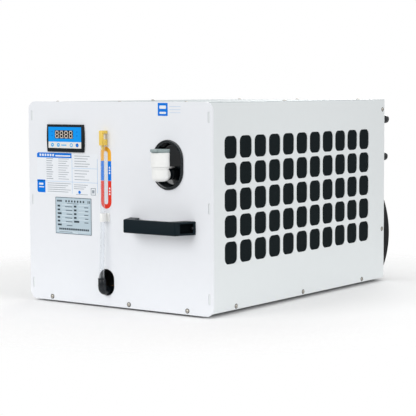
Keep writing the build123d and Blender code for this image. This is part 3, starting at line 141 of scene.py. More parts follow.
brass = material("brass", (0.62, 0.40, 0.16), 0.28, metal=1.0, scale=200, tone=0.15)
stainless = material("stainless", (0.60, 0.61, 0.62), 0.30, metal=1.0, stretch=(1, 1, 30), tone=0.12)
pump_cast = material("pump_cast", (0.06, 0.09, 0.14), 0.5, bump=0.3, gloss=0.18)
motor_paint = material("motor_paint", (0.03, 0.035, 0.04), 0.42, gloss=0.18)
aluminium = material("aluminium", (0.55, 0.56, 0.57), 0.36, metal=1.0, stretch=(1, 60, 1), tone=0.3,
                     bump=0.5)
fan_black = material("fan_black", (0.015, 0.015, 0.017), 0.5, gloss=0.18)
enamel_black = material("enamel_black", (0.010, 0.010, 0.012), 0.22, gloss=0.18)
copper = material("copper", (0.60, 0.25, 0.12), 0.30, metal=1.0, tone=0.2)
gear_grey = material("gear_grey", (0.42, 0.42, 0.40), 0.5)
cord_black = material("cord_black", (0.012, 0.012, 0.014), 0.45, bump=0.08, scale=90, gloss=0.18)
label_white = material("label_white", (0.84, 0.87, 0.91), 0.30, tone=0.015, bump=0.0)
label_blue = material("label_blue", (0.0, 0.185, 0.74), 0.35, tone=0.04, bump=0.0, gloss=0.12)
label_line = material("label_line", (0.45, 0.62, 0.84), 0.35, tone=0.05, bump=0.0)
label_grey = material("label_grey", (0.30, 0.34, 0.38), 0.40, tone=0.08, bump=0.0)
plate_steel = material("plate_steel", (0.50, 0.61, 0.68), 0.36, tone=0.05, bump=0.03)
plate_dark = material("plate_dark", (0.02, 0.04, 0.055), 0.40, tone=0.1, bump=0.0)
plate_rim = material("plate_rim", (0.12, 0.17, 0.21), 0.38, tone=0.06, bump=0.02)
plate_light = material("plate_light", (0.76, 0.84, 0.89), 0.36, tone=0.05, bump=0.0)
sticker_orange = material("sticker_orange", (0.92, 0.45, 0.03), 0.35, tone=0.04, bump=0.0, gloss=0.15)
sticker_blue = material("sticker_blue", (0.0, 0.20, 0.78), 0.35, tone=0.04, bump=0.0, gloss=0.15)
sticker_red = material("sticker_red", (0.84, 0.045, 0.02), 0.35, tone=0.04, bump=0.0, gloss=0.15)


def clear_plastic(name):
    """Thin clear plastic: mostly seen through, denser at its edges."""
    m = bpy.data.materials.new(name)
    m.use_nodes = True
    nodes, links = m.node_tree.nodes, m.node_tree.links
    shader = nodes["Principled BSDF"]
    shader.inputs["Base Color"].default_value = (0.78, 0.82, 0.85, 1)
    shader.inputs["Roughness"].default_value = 0.12
    through = nodes.new("ShaderNodeBsdfTransparent")
    through.inputs["Color"].default_value = (0.96, 0.97, 0.98, 1)
    edge = nodes.new("ShaderNodeLayerWeight")
    edge.inputs["Blend"].default_value = 0.22
    noise = nodes.new("ShaderNodeTexNoise")
    noise.inputs["Scale"].default_value = 60
    bump = nodes.new("ShaderNodeBump")
    bump.inputs["Strength"].default_value = 0.02
    bump.inputs["Distance"].default_value = 0.0005
    links.new(noise.outputs["Fac"], bump.inputs["Height"])
    links.new(bump.outputs["Normal"], shader.inputs["Normal"])
    spread = nodes.new("ShaderNodeMapRange")
    spread.inputs["To Min"].default_value = 0.06
    spread.inputs["To Max"].default_value = 0.85
    links.new(edge.outputs["Facing"], spread.inputs["Value"])
    mix = nodes.new("ShaderNodeMixShader")
    links.new(spread.outputs["Result"], mix.inputs["Fac"])
    links.new(through.outputs["BSDF"], mix.inputs[1])
    links.new(shader.outputs["BSDF"], mix.inputs[2])
    links.new(mix.outputs["Shader"], nodes["Material Output"].inputs["Surface"])
    return m


def mesh_weave(name):
    """The dust filter: a dark open weave."""
    m = material(name, (0.006, 0.011, 0.013), 0.8, scale=40, tone=0.3, bump=0.0, gloss=0.1)
    nodes, links = m.node_tree.nodes, m.node_tree.links
    weave = nodes.new("ShaderNodeTexChecker")
    weave.inputs["Scale"].default_value = 800
    where = nodes.new("ShaderNodeTexCoord")
    links.new(where.outputs["Object"], weave.inputs["Vector"])
    raised = nodes.new("ShaderNodeBump")
    raised.inputs["Strength"].default_value = 0.5
    raised.inputs["Distance"].default_value = 0.0005
    links.new(weave.outputs["Fac"], raised.inputs["Height"])
    links.new(raised.outputs["Normal"], nodes["Principled BSDF"].inputs["Normal"])
    return m


clear = clear_plastic("clear_tube")
weave = mesh_weave("filter_weave")


# Building blocks
def piece(name, verts, faces, mat, body="root", angle=35, slot=None, replaces=()):
    """A mesh in metres that rides a body."""
    data = bpy.data.meshes.new(name)
    data.from_pydata([tuple(v) for v in verts], [], faces)
    data.validate()
    bm = bmesh.new()
    bm.from_mesh(data)
    bmesh.ops.recalc_face_normals(bm, faces=bm.faces)
    bm.to_mesh(data)
    bm.free()
    data.materials.append(mat)
    data.shade_smooth()
    data.set_sharp_from_angle(angle=radians(angle))
    thing = bpy.data.objects.new(name, data)
    scene.collection.objects.link(thing)
    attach(thing, body)
    if replaces:
        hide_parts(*replaces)
    return thing


def axes(direction):
    """Two directions across an axis, and the axis itself."""
    along = Vector(direction).normalized()
    side = Vector((0, 0, 1)) if abs(along.z) < 0.9 else Vector((1, 0, 0))
    first = along.cross(side).normalized()
    return first, along.cross(first).normalized(), along


def turned(profile, origin, direction, steps=64):
    """A turned shape: profile is a list of (radius, distance along the axis) in mm."""
    first, second, along = axes(direction)
    verts, faces = [], []
    for radius, far in profile:
        for i in range(steps):
            angle = 2 * pi * i / steps
            across = (first * cos(angle) + second * sin(angle)) * radius * MM
            verts.append(origin + across + along * far * MM)
    for ring in range(len(profile) - 1):
        for i in range(steps):
            j = (i + 1) % steps
            a, b = ring * steps, (ring + 1) * steps
            faces.append((a + i, a + j, b + j, b + i))
    faces.append(tuple(range(steps)))
    last = (len(profile) - 1) * steps
    faces.append(tuple(range(last, last + steps)))
    return verts, faces


def joined(*chunks):
    """Several (verts, faces) as one."""
    verts, faces = [], []
    for some_verts, some_faces in chunks:
        base = len(verts)
        verts.extend(some_verts)
        faces.extend(tuple(i + base for i in f) for f in some_faces)
    return verts, faces


def block(x0, x1, d0, d1, z0, z1, bevel=0.0):
    """A box in panel places, in mm, with rounded edges if asked."""
    bm = bmesh.new()
    bmesh.ops.create_cube(bm, size=1.0)
    size = Vector((x1 - x0, d1 - d0, z1 - z0)) * MM
    middle = place((x0 + x1) / 2, (d0 + d1) / 2, (z0 + z1) / 2)
    for v in bm.verts:
        v.co = Vector((v.co.x * size.x, v.co.y * size.y, v.co.z * size.z)) + middle
    if bevel:
        bmesh.ops.bevel(bm, geom=bm.edges[:], offset=bevel * MM, segments=3, profile=0.5, affect="EDGES")
    verts = [v.co.copy() for v in bm.verts]
    bm.verts.index_update()
    faces = [tuple(v.index for v in f.verts) for f in bm.faces]
    bm.free()
    return verts, faces


def prism(outline, d0, d1):
    """A flat shape given by (X, Z) points, from one distance behind the panel face to another, in mm."""
    n = len(outline)
    verts = [place(x, d0, z) for x, z in outline] + [place(x, d1, z) for x, z in outline]
    faces = [tuple(range(n)), tuple(range(n, 2 * n))]
    faces += [(i, (i + 1) % n, n + (i + 1) % n, n + i) for i in range(n)]
    return verts, faces


def rect(x0, x1, z0, z1):
    """The outline of a rectangle."""
    return [(x0, z0), (x1, z0), (x1, z1), (x0, z1)]


def rounded(x0, x1, z0, z1, radius, steps=6):
    """The outline of a rectangle with round corners."""
    points = []
    corners = ((x1, z1, 0), (x0, z1, 90), (x0, z0, 180), (x1, z0, 270))
    for cx, cz, turn_by in corners:
        mx = cx - radius if cx == x1 else cx + radius
        mz = cz - radius if cz == z1 else cz + radius
        for i in range(steps + 1):
            angle = radians(turn_by + 90 * i / steps)
            points.append((mx + radius * cos(angle), mz + radius * sin(angle)))
    return points


def disc_outline(x, z, radius, steps=24):
    """The outline of a disc."""
    angles = [2 * pi * i / steps for i in range(steps)]
    return [(x + radius * cos(angle), z + radius * sin(angle)) for angle in angles]


def obround(x, z, width, height, steps=20):
    """The outline of an upright shape with two half-round ends."""
    radius, rise = width / 2, (height - width) / 2
    angles = [pi * i / steps for i in range(steps + 1)]
    top = [(x + radius * cos(angle), z + rise + radius * sin(angle)) for angle in angles]
    low = [(x + radius * cos(pi + angle), z - rise + radius * sin(pi + angle)) for angle in angles]
    return top + low


def punched(outer, holes, thickness, to_world):
    """A sheet with holes, from outlines in its own plane in mm; to_world takes (u, v, w) to metres."""
    curve = bpy.data.curves.new("outline", "CURVE")
    curve.dimensions = "2D"
    curve.fill_mode = "BOTH"
    curve.extrude = thickness / 2
    for outline in [outer] + holes:
        spline = curve.splines.new("POLY")
        spline.points.add(len(outline) - 1)
        for point, (u, v) in zip(spline.points, outline):
            point.co = (u, v, 0, 1)
        spline.use_cyclic_u = True
    holder = bpy.data.objects.new("outline", curve)
    scene.collection.objects.link(holder)
    bpy.context.view_layer.update()
    made = bpy.data.meshes.new_from_object(holder.evaluated_get(bpy.context.evaluated_depsgraph_get()))
    bm = bmesh.new()
    bm.from_mesh(made)
    bmesh.ops.remove_doubles(bm, verts=bm.verts, dist=0.0005)
    verts = [to_world(*v.co) for v in bm.verts]
    bm.verts.index_update()
    faces = [tuple(v.index for v in f.verts) for f in bm.faces]
    bm.free()
    bpy.data.objects.remove(holder)
    bpy.data.meshes.remove(made)
    bpy.data.curves.remove(curve)
    return verts, faces


def rod(name, points, radius, mat, body="root", replaces=(), kind="POLY"):
    """A round rod or tube along points in metres."""
    curve = bpy.data.curves.new(name, "CURVE")
    curve.dimensions = "3D"
    curve.bevel_depth = radius * MM
    curve.bevel_resolution = 5
    curve.use_fill_caps = True
    spline = curve.splines.new(kind)
    spline.points.add(len(points) - 1)
    for point, where in zip(spline.points, points):
        point.co = (*where, 1)
    if kind == "NURBS":
        spline.order_u = 3
        spline.use_endpoint_u = True
        spline.resolution_u = 8
    thing = bpy.data.objects.new(name, curve)
    scene.collection.objects.link(thing)
    curve.materials.append(mat)
    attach(thing, body)
    if replaces:
        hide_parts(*replaces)
    return thing


def softened(name, mat, offset, segments=3, body="root", slot=None, source=None, angle=35, limit=20):
    """A copy of a CAD node with rounded edges, in its place."""
    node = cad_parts[source or name]
    bm = bmesh.new()
    bm.from_mesh(node.data)
    bmesh.ops.remove_doubles(bm, verts=bm.verts, dist=0.00001)
    bmesh.ops.dissolve_limit(bm, angle_limit=radians(1), verts=bm.verts, edges=bm.edges)
    sharp = [e for e in bm.edges if len(e.link_faces) == 2 and e.calc_face_angle(0) > radians(limit)]
    bmesh.ops.bevel(bm, geom=sharp, offset=offset * MM, segments=segments, profile=0.5, affect="EDGES",
                    clamp_overlap=True)
    verts = [node.matrix_world @ v.co for v in bm.verts]
    bm.verts.index_update()
    faces = [tuple(v.index for v in f.verts) for f in bm.faces]
    bm.free()
    return piece("soft_" + name, verts, faces, mat, body, angle, slot, (name,))


# Mains lead: out of the gland, round the hank, and back to the plug; Y is from the rear panel's face
LEAD = [(LEAD_X, LEAD_D, LEAD_Z), (LEAD_X, 46, LEAD_Z), (-33, 67, 70), (-17, 83, 55), (6, 89, 36),
        (33, 84, 18), (61, 70, 7), (88, 50, 4.5), (116, 29, 4), (141, 14, 4.1), (168.4, 8, 4)]
TAIL = [(139, 27, 208.4), (116, 30, 192), (103, 33, 168), (98, 36, 138), (98.5, 39, 106), (97, 43, 76),
        (88, 47, 48), (70, 51, 26), (46, 54, 17), (22, 55, 15)]


def hank_point(share):
    """A point on the hank's outline, for a share of one turn from the bottom, going to +X first."""
    rise, end_radius, half_width = 78.0, 28.0, 44.0
    step = half_width - end_radius
    side_centre = (rise ** 2 - step ** 2) / (2 * step)
    side_radius = side_centre + half_width
    corner = asin(rise / (side_radius - end_radius))
    end_half = end_radius * (pi / 2 - corner)
    side = side_radius * 2 * corner
    total = 4 * end_half + 2 * side
    far = (share % 1.0) * total
    if far < end_half:
        angle = -pi / 2 + far / end_radius
        return end_radius * cos(angle), -rise + end_radius * sin(angle)
    far -= end_half
    if far < side:
        angle = -corner + far / side_radius
        return -side_centre + side_radius * cos(angle), side_radius * sin(angle)
    far -= side
    if far < 2 * end_half:
        angle = corner + far / end_radius
        return end_radius * cos(angle), rise + end_radius * sin(angle)
    far -= 2 * end_half
    if far < side:
        angle = pi - corner + far / side_radius
        return side_centre + side_radius * cos(angle), side_radius * sin(angle)
    far -= side
    angle = pi + corner + far / end_radius
    return end_radius * cos(angle), -rise + end_radius * sin(angle)


coil = []
per_turn = 24
for i in range(1, int(TURNS * per_turn)):
    share = i / per_turn
    hank_x, hank_z = hank_point(share)
    whole, part = int(share), share % 1.0
    shift = max(0.0, (part - 0.5) * 2)
    shift = shift * shift * (3 - 2 * shift)
    coil.append((HANK_X + hank_x, HANK_D + TURN_PITCH * (whole + shift), HANK_Z + hank_z))
route = [Vector((x * MM, (REAR + y) * MM, z * MM)) for x, y, z in LEAD + coil + TAIL]
cord = rod("mains_lead", route, LEAD_RADIUS, cord_black, replaces=("power_cord", "cord_tail", "cord_hank"),
           kind="NURBS")
relief_start = Vector((LEAD_X * MM, (REAR + LEAD_D) * MM, LEAD_Z * MM))
relief_profile = [(6.6, 0), (6.6, 4)]
for i in range(6):
    far = 3 * i
    relief_profile += [(6.4 - 0.3 * i, 5 + far), (6.4 - 0.3 * i, 7 + far), (5.4 - 0.2 * i, 7.2 + far)]
relief_profile += [(4.3, 23)]
piece("gland_relief", *turned(relief_profile, relief_start, (0, 1, 0), 32), rubber, slot="cord_jacket")
plug_end = route[-1]
plug_back = (route[-2] - route[-1]).normalized()
plug_profile = [(7.5, -1)]
for i in range(7):
    far = 3.2 * i
    plug_profile += [(7.4 - 0.4 * i, 1 + far), (7.4 - 0.4 * i, 3 + far), (6.4 - 0.3 * i, 3.2 + far)]
plug_profile += [(4.2, 25)]
plug_relief = piece("plug_relief", *turned(plug_profile, plug_end, plug_back, 32), rubber,
                    slot="cord_jacket")
plug = softened("mains_plug", fitting_black, 1.2, slot="cord_jacket", limit=40)
tie = softened("hank_tie", rubber, 0.5, 2, slot="cord_jacket")

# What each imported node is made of
looks = {
    panel_paint: ["front_panel"],
    case_paint: ["right_side_panel", "left_side_panel", "rear_panel"],
    cover_paint: ["top_cover"],
    zinc: ["base_tray", "top_braces", "fan_shroud", "electrical_plate"],
    rubber: ["rubber_feet", "compressor_grommets", "water_hoses", "filler_hose", "hank_tie", "mains_plug"],
    screw_metal: ["panel_screws"],
    screw_dark: ["handle_screws"],
    handle_black: ["handle"],
    bezel_black: ["controller_bezel", "controller_housing"],
    blue_print: ["controller_window"],
    cyan_print: ["controller_key_1", "controller_key_2", "controller_key_3"],
    deep_blue: ["controller_key_4"],
    yellow_plastic: ["gauge_clip"],
    clear: ["gauge_tube"],
    white_plastic: ["tube_saddle", "filler_elbow", "filler_stay", "filler_cap"],
    fitting_black: ["drain_elbow", "tube_nut", "filler_tailpiece", "rear_fittings", "outlet_cap",
                    "inlet_cap", "cord_gland", "switch_housing", "switch_rocker"],
    cup_gloss: ["filler_cup"],
    cap_grey: ["cap_disc"],
    brass: ["drain_fitting"],
    weave: ["dust_filter"],
    stainless: ["water_tank", "tank_lid", "heat_exchanger"],
    pump_cast: ["pump_head"],
    motor_paint: ["pump_motor", "fan_motor"],
    aluminium: ["condenser", "filter_drier"],
    fan_black: ["fan_rotor"],
    enamel_black: ["compressor", "accumulator"],
    copper: ["refrigerant_pipes"],
    gear_grey: ["switchgear"],
}
for mat, names in looks.items():
    for name in names:
        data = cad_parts[name].data
        data.materials.clear()
        data.materials.append(mat)

# Front panel and side sheets, with true round corners
FX, FD, CUP_Z = 132, -25, 299   # the filler's axis, and the middle of its cup
TAB_X, TAB_LOWEST, TAB_PITCH, TAB_ROWS = 232.4, 38.6, 177.7, 3
GRILLE_PITCH, GRILLE_ROWS, GRILLE_TOP, GRILLE_FIRST = 52.5, 5, 333.6, 73.5
slots = []
for side in (-1, 1):
    for row in range(TAB_ROWS):
        x, z = side * TAB_X, TAB_LOWEST + row * TAB_PITCH
        slots.append(rounded(x - 2.5, x + 2.5, z - 10.4, z + 10.4, 1.2, 3))
controller_hole = rounded(-180.6, -91.4, 321.15, 373.85, 1.5, 3)
cup_hole, drain_hole = obround(FX, CUP_Z, 68, 92), obround(-30, 52.7, 41.5, 55.5)
front_outline = rounded(-PANEL_X, PANEL_X, PANEL_LOW, PANEL_TOP, 18, 12)
front_sheet = punched(front_outline, [controller_hole, cup_hole, drain_hole] + slots, PANEL,
                      lambda u, v, w: place(u, PANEL / 2 + w, v))
piece("front_sheet", *front_sheet, panel_paint, slot="panel_paint", replaces=("front_panel",))


def grille(side, columns, first):
    """A side sheet with its holes, its inward return along the top and its three hook tabs."""
    holes = []
    for column in range(columns):
        for row in range(GRILLE_ROWS):
            d, z = first + GRILLE_PITCH * column, GRILLE_TOP - GRILLE_PITCH * row
            holes.append(rounded(d - 21.25, d + 21.25, z - 22.5, z + 22.5, 12, 5))
    outer = rect(PANEL, REAR - FRONT, CASE_LOW, CASE_TOP)
    chunks = [punched(outer, holes, SHEET, lambda u, v, w: place(side * (CASE_X - SHEET / 2 + w), u, v))]
    low, high = sorted((side * 216, side * (CASE_X - SHEET)))
    chunks.append(block(low, high, 34.5, 660, CASE_TOP - SHEET, CASE_TOP))
    for row in range(TAB_ROWS):
        z = TAB_LOWEST + row * TAB_PITCH
        low, high = sorted((side * (TAB_X - 2.1), side * (TAB_X + 2.1)))
        chunks.append(block(low, high, 0.6, 3.7, z - 10, z + 10))
    return joined(*chunks)


right_sheet, left_sheet = grille(1, 11, GRILLE_FIRST), grille(-1, 4, GRILLE_FIRST + 7 * GRILLE_PITCH)
piece("right_sheet", *right_sheet, case_paint, slot="case_paint", replaces=("right_side_panel",))
piece("left_sheet", *left_sheet, case_paint, slot="case_paint", replaces=("left_side_panel",))

# Pan-head screws with a cross recess and a dark ring of painted shade around each head
head = [(4.0, 0), (4.0, 0.7), (3.7, 1.3), (3.0, 1.8), (2.0, 2.1), (1.4, 2.2), (1.3, 1.2)]
heads, shade_rings = [], []


def screw(origin, direction):
    """Adds one screw's head and its ring of painted shade to the lists."""
    heads.append(turned(head, origin, direction, 24))
    shade_rings.append(turned([(5.0, 0), (5.0, 0.3), (3.9, 0.3)], origin, direction, 24))


COVER_Z = 423   # the top of the cover
for x in (-180, 29, 178):
    screw(place(x, 0, 11.5), (0, -1, 0))
for d in (12, 680):
    for x in (-169, 0, 169):
        screw(place(x, d, COVER_Z), (0, 0, 1))
for x in (-180, 180):
    screw(place(x, 348, COVER_Z), (0, 0, 1))
for side in (-1, 1):
    for d in (91, 341, 591):
        screw(place(side * CASE_X, d, 14.5), (side, 0, 0))
    for z in (122.5, 400):
        screw(place(side * CASE_X, 683, z), (side, 0, 0))
piece("case_screws", *joined(*heads), screw_metal, slot="screw_metal", replaces=("panel_screws",))
# painted shade: a thin dark ring, just wider than each head, stands for the shade around its rim
piece("screw_shade_rings", *joined(*shade_rings), screw_dark, slot="screw_metal")

# Handle: a moulded U, with near-black sheets of painted shade in the pocket at each end
softened("handle", handle_black, 1.0, slot="handle_plastic")
# painted shade: a near-black, matt colour that stands for the shade inside the handle's pockets
pocket_painted_shade = material("pocket_painted_shade", (0.0015, 0.003, 0.004), 0.7, tone=0.1, bump=0.0, gloss=0.03)


def slab(corners, push):
    """A thin plate on four (X, d, Z) corners; push is its thickness, as (X, d, Z) too, in mm."""
    verts = [place(*c) for c in corners] + [place(*[a + b for a, b in zip(c, push)]) for c in corners]
    return verts, [(0, 1, 2, 3), (4, 5, 6, 7), (0, 1, 5, 4), (1, 2, 6, 5), (2, 3, 7, 6), (3, 0, 4, 7)]


HANDLE_X, HANDLE_HALF, END_SLANT, INSET = 116.5, 83.5, 0.4318, 1.2
D0, D1, Z0, Z1 = -4.7, -32.2, 167.7, 186.3   # the pockets' reach in front of the panel, and their height
POCKET_DEPTH, SHADE_THICKNESS = 6.5, 0.2
shade_sheets = []
for sign in (-1, 1):
    near_0, near_1 = [HANDLE_X + sign * (HANDLE_HALF + END_SLANT * d - INSET) for d in (D0, D1)]
    deep_0, deep_1 = near_0 - sign * POCKET_DEPTH, near_1 - sign * POCKET_DEPTH
    shade_sheets.append(slab([(deep_0, D0, Z0), (deep_1, D1, Z0), (deep_1, D1, Z1), (deep_0, D0, Z1)],
                        (sign * SHADE_THICKNESS, 0, 0)))
    for z, push in ((Z0, SHADE_THICKNESS), (Z1, -SHADE_THICKNESS)):
        shade_sheets.append(slab([(near_0, D0, z), (near_1, D1, z), (deep_1, D1, z), (deep_0, D0, z)],
                            (0, 0, push)))
    for near, deep, d, push in ((near_0, deep_0, D0, -SHADE_THICKNESS), (near_1, deep_1, D1, SHADE_THICKNESS)):
        shade_sheets.append(slab([(near, d, Z0), (near, d, Z1), (deep, d, Z1), (deep, d, Z0)], (0, push, 0)))
# painted shade: these thin sheets line each pocket and stand for the shade in it
piece("handle_pocket_shade", *joined(*shade_sheets), pocket_painted_shade, slot="handle_plastic")

# Controller: bezel, printed overlay, digits and keys
softened("controller_bezel", bezel_black, 0.5, 2, slot="bezel_plastic")
WX0, WX1, WZ0, WZ1 = -181.4, -90.6, 326.9, 370.9   # the printed window
KEY_Z = 333.5
KEY_1_X, KEY_2_X, KEY_3_X, KEY_4_X = -170.2, -153.8, -117.6, -101.7
KEY_FACE, KEY_TOP = -4.7, -5.15   # where the keys' caps and their marks begin
STRIP_TOP = 340   # the pale strip's top, where the blue begins
blue_field, pale_strip = rect(WX0, WX1, STRIP_TOP, WZ1), rect(WX0, WX1, WZ0, STRIP_TOP)
piece("overlay_blue", *prism(blue_field, -4.9, -4.6), blue_print, slot="window_print")
piece("overlay_pale", *prism(pale_strip, -4.9, -4.6), white_print, slot="window_print")
piece("digit_window", *prism(rounded(-163.2, -112.8, 346.8, 364, 1.0, 3), -5.1, -4.85), display_black,
      slot="window_print")
DIGIT_X, DIGIT_PITCH, DIGIT_Z = -157.2, 12.7, 355.4
half, rise, thick = 3.7, 6.8, 1.5   # half a digit's width and height, and a bar's thickness
chunks = []
for digit in range(4):
    cx, cz = DIGIT_X + digit * DIGIT_PITCH, DIGIT_Z
    for z in (cz - rise, cz, cz + rise):
        chunks.append(prism([(cx - half + 0.6, z - thick / 2), (cx + half - 0.6, z - thick / 2),
                             (cx + half, z), (cx + half - 0.6, z + thick / 2),
                             (cx - half + 0.6, z + thick / 2), (cx - half, z)], -5.25, -5.05))
    for x in (cx - half, cx + half):
        for z in (cz - rise / 2, cz + rise / 2):
            bar = rect(x - thick / 2, x + thick / 2, z - rise / 2 + 1.0, z + rise / 2 - 1.0)
            chunks.append(prism(bar, -5.25, -5.05))
    chunks.append(prism(disc_outline(cx + 5.6, cz - rise, 0.7, 12), -5.25, -5.05))
piece("digits", *joined(*chunks), segment_beige, slot="window_print")
lamps = [(x, z) for x in (-171.0, -102.0) for z in (353.0, 361.0)]
marks = [prism(disc_outline(x, z, 1.3, 16), -5.05, -4.85) for x, z in lamps]
piece("lamp_marks", *joined(*marks), deep_blue, slot="window_print")
key_profile = [(4.0, 0), (4.0, 0.25), (3.7, 0.45), (3.0, 0.5)]
for index, (x, mat) in enumerate(((KEY_1_X, cyan_print), (KEY_2_X, cyan_print), (KEY_3_X, white_print),
                                  (KEY_4_X, deep_blue)), 1):
    cap = turned(key_profile, place(x, KEY_FACE, KEY_Z), (0, -1, 0), 32)
    piece(f"key_{index}_cap", *cap, mat, f"key_{index}_body",
          slot="key_cyan" if index < 3 else "key_blue")
ring_profile = [(3.9, 0), (3.9, 0.12), (2.5, 0.12), (2.5, 0)]
ring = turned(ring_profile, place(KEY_3_X, KEY_TOP, KEY_Z), (0, -1, 0), 32)
piece("key_3_ring", *ring, cyan_print, "key_3_body", slot="key_blue")
for index, x in ((1, KEY_1_X), (2, KEY_2_X), (4, KEY_4_X)):
    mark = turned([(1.5, 0), (1.5, 0.1)], place(x, KEY_TOP, KEY_Z), (0, -1, 0), 20)
    piece(f"key_{index}_mark", *mark, white_print if index < 4 else cyan_print, f"key_{index}_body",
          slot="key_cyan" if index < 3 else "key_blue")
piece("overlay_bar", *prism(rect(-145.5, -131.5, 332.3, 334.3), -5.0, -4.85), cyan_print,
      slot="window_print")

# Labels on the panel: plain fields of colour


def field(name, shapes, mat, lift, slot="window_print"):
    """Flat shapes on the panel's face; lift is how far their tops stand off it, in mm."""
    return piece(name, *joined(*[prism(shape, -lift, -lift + 0.09) for shape in shapes]), mat, slot=slot)


def rows(x0, x1, top_z, low_z, count, height, shorten=0.0):
    """Rows of plain bars; every second and third row ends a little earlier."""
    bars = []
    for i in range(count):
        z = top_z + (low_z - top_z) * i / (count - 1)
        bars.append(rect(x0, x1 - shorten * (i % 3), z - height / 2, z + height / 2))
    return bars


field("label_sheet", [rounded(-219, -51, 229, 316.5, 3, 4)], label_white, 0.12)
header = [(-219, 306), (-121.7, 306), (-121.7, 316.5), (-216, 316.5), (-219, 313.5)]
badge = [(-219, 259), (-219, 235), (-216, 232), (-196.2, 232), (-196.2, 259)]
field("label_header", [header], label_blue, 0.2)
field("label_badge", [badge], label_blue, 0.2)
header_marks = [rounded(-211.5 + 7.2 * i, -206.8 + 7.2 * i, 309, 313.8, 1.0, 2) for i in range(6)]
header_marks += [rounded(-167, -125, 309.0, 311.8, 0.8, 2)]
header_marks += [rounded(-214, -202, 248, 252, 0.8, 2), rounded(-214, -200, 242.5, 244.6, 0.8, 2)]
field("label_marks", header_marks, label_white, 0.28)
lines = [rect(-121.2, -120.2, 232, 306), rect(-120.2, -51, 285.3, 286.1), rect(-219, -51, 256.1, 256.9),
         rect(-51.8, -50.8, 236, 306)]
field("label_lines", lines, label_line, 0.2)
bars = rows(-192.5, -173.7, 304, 262, 10, 1.3, 2.0) + rows(-159, -129.5, 304, 262, 10, 1.0, 4.0)
bars += rows(-114, -72, 311, 289.5, 5, 1.2, 5.0) + rows(-114, -74, 280.5, 262, 4, 1.2, 6.0)
bars += rows(-190, -125, 252.5, 235, 5, 1.1, 7.0) + rows(-116, -78, 251, 243, 3, 1.1, 5.0)
bars += [rect(-110, -78, 230.8, 231.8)]
field("label_bars", bars, label_grey, 0.2)
field("label_disc", [disc_outline(-100.7, 235.8, 3.4)], label_blue, 0.2)
frame_bars = [rect(-69.8, -56.5, 244.4, 245.7), rect(-69.8, -56.5, 230.8, 232.1),
              rect(-69.8, -68.4, 232.1, 244.4), rect(-57.9, -56.5, 232.1, 244.4),
              rect(-66.4, -59.9, 235, 241.5)]
field("label_square", frame_bars, label_grey, 0.2)

ROW_PITCH, LINE_PITCH = 7.9, 7.7   # the nameplate's rows of marks, and the lines between them
field("nameplate_edge", [rounded(-168, -68.7, 147, 224, 1.0, 2)], plate_rim, 0.4)
field("nameplate_face", [rounded(-166.6, -70.1, 148.4, 222.6, 0.8, 2)], plate_steel, 0.5)
plate_marks = [rect(-163.5 + 2.9 * i, -161.3 + 2.9 * i, 214.0, 218.0) for i in range(5)]
plate_marks += [rect(-140 + 8.0 * i, -136 + 8.0 * i, 213.8, 218.0) for i in range(7)]
plate_marks += [rect(-78.5, -76.5, 213.0, 218.4), rect(-74.5, -72.5, 213.0, 218.4)]
for i in range(6):
    z = 205.5 - ROW_PITCH * i
    plate_marks.append(rect(-162, -155 if i % 3 < 2 else -151, z - 1.9, z + 1.9))
    if i < 5:
        plate_marks.append(rect(-116.5, -109.5 if i < 4 else -102, z - 2.0, z + 2.0))
plate_marks += [rect(-158 + 5.2 * i, -154 + 5.2 * i, 155.4, 159.4) for i in range(16)]
field("nameplate_marks", plate_marks, plate_dark, 0.58)
pale = [rect(-150, -120 - 3 * (i % 2), 208.6 - LINE_PITCH * i, 209.5 - LINE_PITCH * i) for i in range(6)]
pale += [rect(-104, -76, 208.6 - LINE_PITCH * i, 209.5 - LINE_PITCH * i) for i in range(5)]
pale += [rect(-166, -72, 152.6, 153.2), rect(-120, -106, 149.6, 151)]
field("nameplate_bars", pale, plate_light, 0.58)
dim = [rect(-141 + 2 * (i % 3), -121, 203.6 - ROW_PITCH * i, 205.4 - ROW_PITCH * i) for i in range(6)]
dim += [rect(-88 + 2 * (i % 2), -77, 203.2 - ROW_PITCH * i, 205.2 - ROW_PITCH * i) for i in range(5)]
dim += [rect(-136, -104, 210.6, 211.6), rect(-158, -122, 151.0, 151.8)]
field("nameplate_dim", dim, plate_rim, 0.58)

field("blue_square", [rounded(107.3, 132, 396, 421.6, 0.8, 2)], label_blue, 0.2)
square_marks = [rounded(111.5, 127.8, 410, 416.5, 1.5, 3), rounded(111.5, 127.8, 400, 404, 1.5, 3)]
field("blue_square_marks", square_marks, label_white, 0.28)
field("square_lines", [rect(136, 163.8, z, z + 0.7) for z in (402, 408, 414)], label_line, 0.12)

# Level sticker: a long ring in three colours around the tube's line
SX0, SX1, LEG = -42.6, -14.5, 9.0   # its sides, and the width of each leg


def leg_pair(z0, z1):
    """Both legs of the ring between two heights."""
    return [rect(SX0, SX0 + LEG, z0, z1), rect(SX1 - LEG, SX1, z0, z1)]


def arch(z, sign, steps=16):
    """Half of the ring's round end."""
    middle, outer = (SX0 + SX1) / 2, (SX1 - SX0) / 2
    inner = outer - LEG
    angles = [pi * i / steps for i in range(steps + 1)]
    far = [(middle + outer * cos(angle), z + sign * outer * sin(angle)) for angle in angles]
    near = [(middle + inner * cos(angle), z + sign * inner * sin(angle)) for angle in reversed(angles)]
    return far + near


field("sticker_top", leg_pair(303, 318) + [arch(318, 1)], sticker_orange, 0.15)
field("sticker_middle", leg_pair(262.6, 302.8), sticker_blue, 0.15)
field("sticker_low", leg_pair(219, 262.2) + [arch(219, -1)], sticker_red, 0.15)
dots = [disc_outline(SX1 - 4.5, z, 1.9, 16) for z in (278.3, 283.8, 289.3, 235.3, 241, 246.7)]
field("sticker_dots", dots, label_white, 0.22)

# Level tube, clip, saddle and drain elbow
TUBE_X, TUBE_D = -29, -15.5   # the tube's line, and its distance from the panel at the foot
gauge_line = ((-9, 335), (-9.2, 311), (-10.2, 255), (-11.2, 199.5), (-11.4, 175.5), (-13.6, 120),
              (TUBE_D, 72), (TUBE_D, 50))
gauge_path = [place(TUBE_X, d, z) for d, z in gauge_line]


